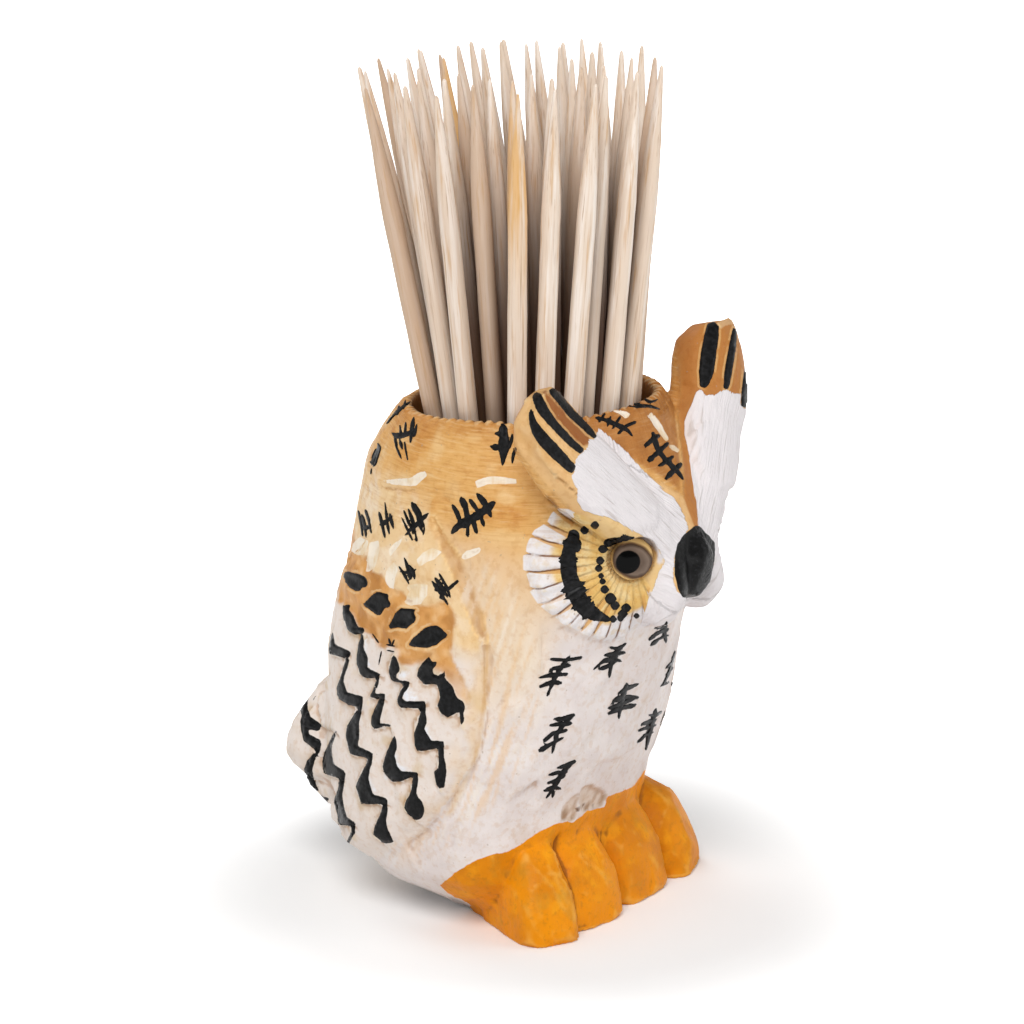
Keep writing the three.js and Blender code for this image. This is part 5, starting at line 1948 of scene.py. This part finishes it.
for shapes, crop in (
    (WING_BLACK, wing_close), (TAIL_BLACK, tail_close), (SHOULDER_SPOTS, shoulder_close),
    (NEAR_STRIPES, ear_close), (FAR_STRIPES, head_crop),
):
    for outline in shapes:
        lay_patch(crop(outline), mirror=crop not in (ear_close, head_crop))
for rows in SMALL_MARKS:
    lay_pixels(side_crop(rows))
for lines, crop in STROKE_SETS:
    for rows in lines:
        lay_pixels(crop(rows))
lay_pixels(disc_close(CRESCENT), ragged=0.3, step=1.0, widen=1.0, extra=0)
lay_pixels(disc_close(LASH), ragged=0.3, step=0.8)
for x, y, radius in disc_close(DOTS):
    lay_dot(x, y, radius)
for x, z, lean in BACK_SPOTS:
    laid = np.array(strokes.points)
    crowd = np.linalg.norm(laid[laid[:, 1] > 0][:, [0, 2]] - np.array([x, z]), axis=1).min()
    if crowd > 1.9:
        lay_behind(x, z, lean)
strokes.points = list(np.clip(np.array(strokes.points), box_low + INSET, box_high - INSET))
marks = new_object("black_marks", strokes.points, strokes.faces, ink_paint)
select_only(marks)
bpy.ops.object.mode_set(mode="EDIT")
bpy.ops.mesh.select_all(action="SELECT")
bpy.ops.mesh.normals_make_consistent(inside=False)
bpy.ops.object.mode_set(mode="OBJECT")
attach(marks, "owl")


# Glass eyes: a grey-brown ring round a domed black pupil.

def eye_glass():
    material = bpy.data.materials.new("eye_glass")
    add = node_maker(material)
    pupil = add("value", attribute_name="pupil")
    iris = add("value", attribute_name="iris")
    cloud = add("noise", add("place"), 900, 4)
    ring = add("bands", add("ADD", iris, add("MULTIPLY", cloud, 0.14)))
    set_bands(
        ring, [(0.4, "#665549"), (0.66, "#7E6C5E"), (0.8, "#4E3C30"), (0.86, "#7E6042"), (0.94, "#DDB878")],
    )
    both = add("mix", "#050505", ring, add("step", pupil, 0.92, 1.04))
    shader = add("surface", both, 0.14, 0.06)
    put_out(material, "ShaderNodeOutputMaterial", shader)
    return material


glass = eye_glass()


# The glass from its edge to its middle: distance from the axis, and height.
DOME = [
    (2.08, -0.85), (2.08, 0.0), (1.98, 0.14), (1.75, 0.24), (1.5, 0.32), (1.25, 0.42), (1.0, 0.52),
    (0.7, 0.6), (0.4, 0.65), (0.12, 0.67),
]
EYE_SIDES = 48


def make_eye(name, side):
    out = EYE_OUT * np.array([side, 1, 1])
    at = EYE_AT * np.array([side, 1, 1])
    across = np.cross([0, 0, 1.0], out)
    across /= np.linalg.norm(across)
    upward = np.cross(out, across)
    pts, pupil, iris = [], [], []
    for r, h in DOME:
        for k in range(EYE_SIDES):
            a = 2 * math.pi * k / EYE_SIDES
            right, high = r * math.cos(a) * side, r * math.sin(a)
            pts.append(at + across * r * math.cos(a) + upward * high + out * h)
            pupil.append(math.hypot(right + 0.7, high + 0.12) / 1.22)
            ring = 0.78 * math.hypot((right + 0.1) / 2.08, (high + 0.1 + 0.2 * right) / 1.78)
            iris.append(ring if h >= 0 else 0.98)
    faces = round_faces(len(DOME), EYE_SIDES)
    obj = new_object(name + "_glass", pts, faces, glass)
    write_value(obj, "pupil", np.array(pupil))
    write_value(obj, "iris", np.array(iris))
    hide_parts(name)
    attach(obj, "owl")


make_eye("eye_right", 1)
make_eye("eye_left", -1)


PICK_SIDES = 16


def make_pick(name, joint, seed):
    """A toothpick as turned, a little uneven, with a pointed tip at both ends."""
    pick = np.random.RandomState(seed)
    axis = np.array(joint["axis"])
    axis /= np.linalg.norm(axis)
    solid = read_points(frame["nodes"][name])
    heights = solid @ axis
    low, high = heights.min(), heights.max()
    line = solid.mean(0) - axis * (solid.mean(0) @ axis)
    across = np.cross(axis, [0, 1.0, 0])
    across /= np.linalg.norm(across)
    other = np.cross(axis, across)
    length = high - low
    taper = pick.uniform(11.5, 14.5, 2)
    tip = pick.uniform(0.13, 0.22, 2)
    heights = np.concatenate(
        [
            [0, 0.25],
            np.linspace(0.8, 15, 14),
            np.linspace(17, length - 17, 12),
            np.linspace(length - 15, length - 0.8, 14),
            [length - 0.25, length],
        ],
    )
    pts, strand = [], []
    lump = pick.normal(0, 1, 64)
    for row, h in enumerate(heights):
        end = 0 if h < length / 2 else 1
        reach = min(h, length - h) / taper[end]
        r = 1.0 if reach >= 1 else tip[end] + (0.985 - tip[end]) * (1 - (1 - reach) ** 1.45)
        r = min(r, 0.985) * (1 - 0.012 * abs(lump[row % 64]))
        if row in (0, len(heights) - 1):
            r *= 0.45
        for k in range(PICK_SIDES):
            a = 2 * math.pi * k / PICK_SIDES
            rr = r * (1 - 0.015 * abs(lump[(row * 3 + k) % 64]))
            pts.append(line + axis * (low + h) + across * rr * math.cos(a) + other * rr * math.sin(a))
            strand.append((rr * math.cos(a) + seed * 3.1, rr * math.sin(a) + seed * 1.7, h + seed * 11.0))
    faces = round_faces(len(heights), PICK_SIDES)
    obj = new_object(name + "_birch", pts, faces, birch)
    write_vector(obj, "strand", np.array(strand))
    write_value(obj, "tone", np.full(len(pts), pick.rand()))
    from_top = np.array(strand)[:, 2] - seed * 11.0 - length
    write_value(obj, "gold", smooth(-24, -9, from_top) if name in golden else np.zeros(len(pts)))
    # painted shade: picks deep in the bundle are darkened where shade falls between the others
    placed = np.array(pts)
    depth = 10.6 + 0.105 * (placed[:, 2] - TOP) - np.hypot(placed[:, 0], placed[:, 1])
    write_value(obj, "inner", smooth(0.5, 2.3, depth) * smooth(84, 58, placed[:, 2]) * 0.95)
    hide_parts(name)
    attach(obj, joint["child"])


# Three picks have golden tips: the ones whose tips are nearest to these places in the picture.
GOLDEN_TIPS = ((507, 70), (440, 64), (513, 130))
tips = {}
for joint in frame["joints"]:
    solid = read_points(frame["nodes"][joint["child"]])
    tips[joint["child"]] = to_pixels(solid[solid[:, 2].argmax()][None])[0]
golden = {min(tips, key=lambda name: np.hypot(*(tips[name] - spot))) for spot in GOLDEN_TIPS}
for number, joint in enumerate(frame["joints"]):
    make_pick(joint["child"], joint, number)


# Floor, lights and camera

SHADOW_REACH = (0.024, 0.062)  # metres from the middle of the base, where the floor's shadow fades out


def stage_material(name, hex_colour, near_lift, far_lift):
    material = bpy.data.materials.new(name)
    add = node_maker(material)
    rays = add("rays").node.outputs
    seen = add("MAXIMUM", rays["Is Camera Ray"], rays["Is Glossy Ray"])
    seen = add("MAXIMUM", seen, rays["Is Transmission Ray"])
    away = add("length", add("place"))
    amount = add("step", away, SHADOW_REACH[0], SHADOW_REACH[1], near_lift, far_lift)
    matt = add("matt", hex_colour)
    shine = add("glow", (1, 1, 1, 1), add("MULTIPLY", seen, amount))
    put_out(material, "ShaderNodeOutputMaterial", add("both", matt, shine))
    return material


bpy.ops.mesh.primitive_plane_add(size=6.0, location=(0, 0, 0))
floor = bpy.context.object
floor.name = "floor"
floor.data.materials.append(stage_material("floor_paper", "#F4F4F4", 0.06, 1.0))

world = bpy.data.worlds.new("studio")
bpy.context.scene.world = world
add = node_maker(world)
rays = add("rays").node.outputs
seen = add("MAXIMUM", rays["Is Camera Ray"], rays["Is Transmission Ray"])
sky = add("sky", (1, 1, 1, 1), add("range", seen, 0.0, 1.0, 0.40, 1.0))
put_out(world, "ShaderNodeOutputWorld", sky)


def area_light(name, at, size, power):
    data = bpy.data.lights.new(name, "AREA")
    data.shape = "DISK"
    data.size = size
    data.energy = power
    lamp = bpy.data.objects.new(name, data)
    bpy.context.scene.collection.objects.link(lamp)
    lamp.location = at
    aim = Vector((0, 0, 0.04)) - Vector(at)
    lamp.rotation_euler = aim.to_track_quat("-Z", "Y").to_euler()


area_light("key", (-0.62, -0.25, 0.72), 0.5, 5.4)
area_light("fill", (0.35, -0.85, 0.40), 0.6, 1.9)
area_light("rim", (0.2, 0.6, 0.7), 0.4, 1.4)

camera_data = bpy.data.cameras.new("camera")
camera = bpy.data.objects.new("camera", camera_data)
bpy.context.scene.collection.objects.link(camera)
camera_data.sensor_width = 36
camera_data.sensor_fit = "HORIZONTAL"
camera_data.lens = FOCAL / PICTURE * 36
camera_data.clip_start = 0.05
camera_data.shift_x = (PICTURE / 2 - CENTRE[0]) / PICTURE
camera_data.shift_y = (CENTRE[1] - PICTURE / 2) / PICTURE
camera.location = EYE_POINT * MM
camera.rotation_euler = Vector(-BACK).to_track_quat("-Z", "Y").to_euler()
bpy.context.scene.camera = camera
bpy.context.scene.view_settings.view_transform = "Standard"
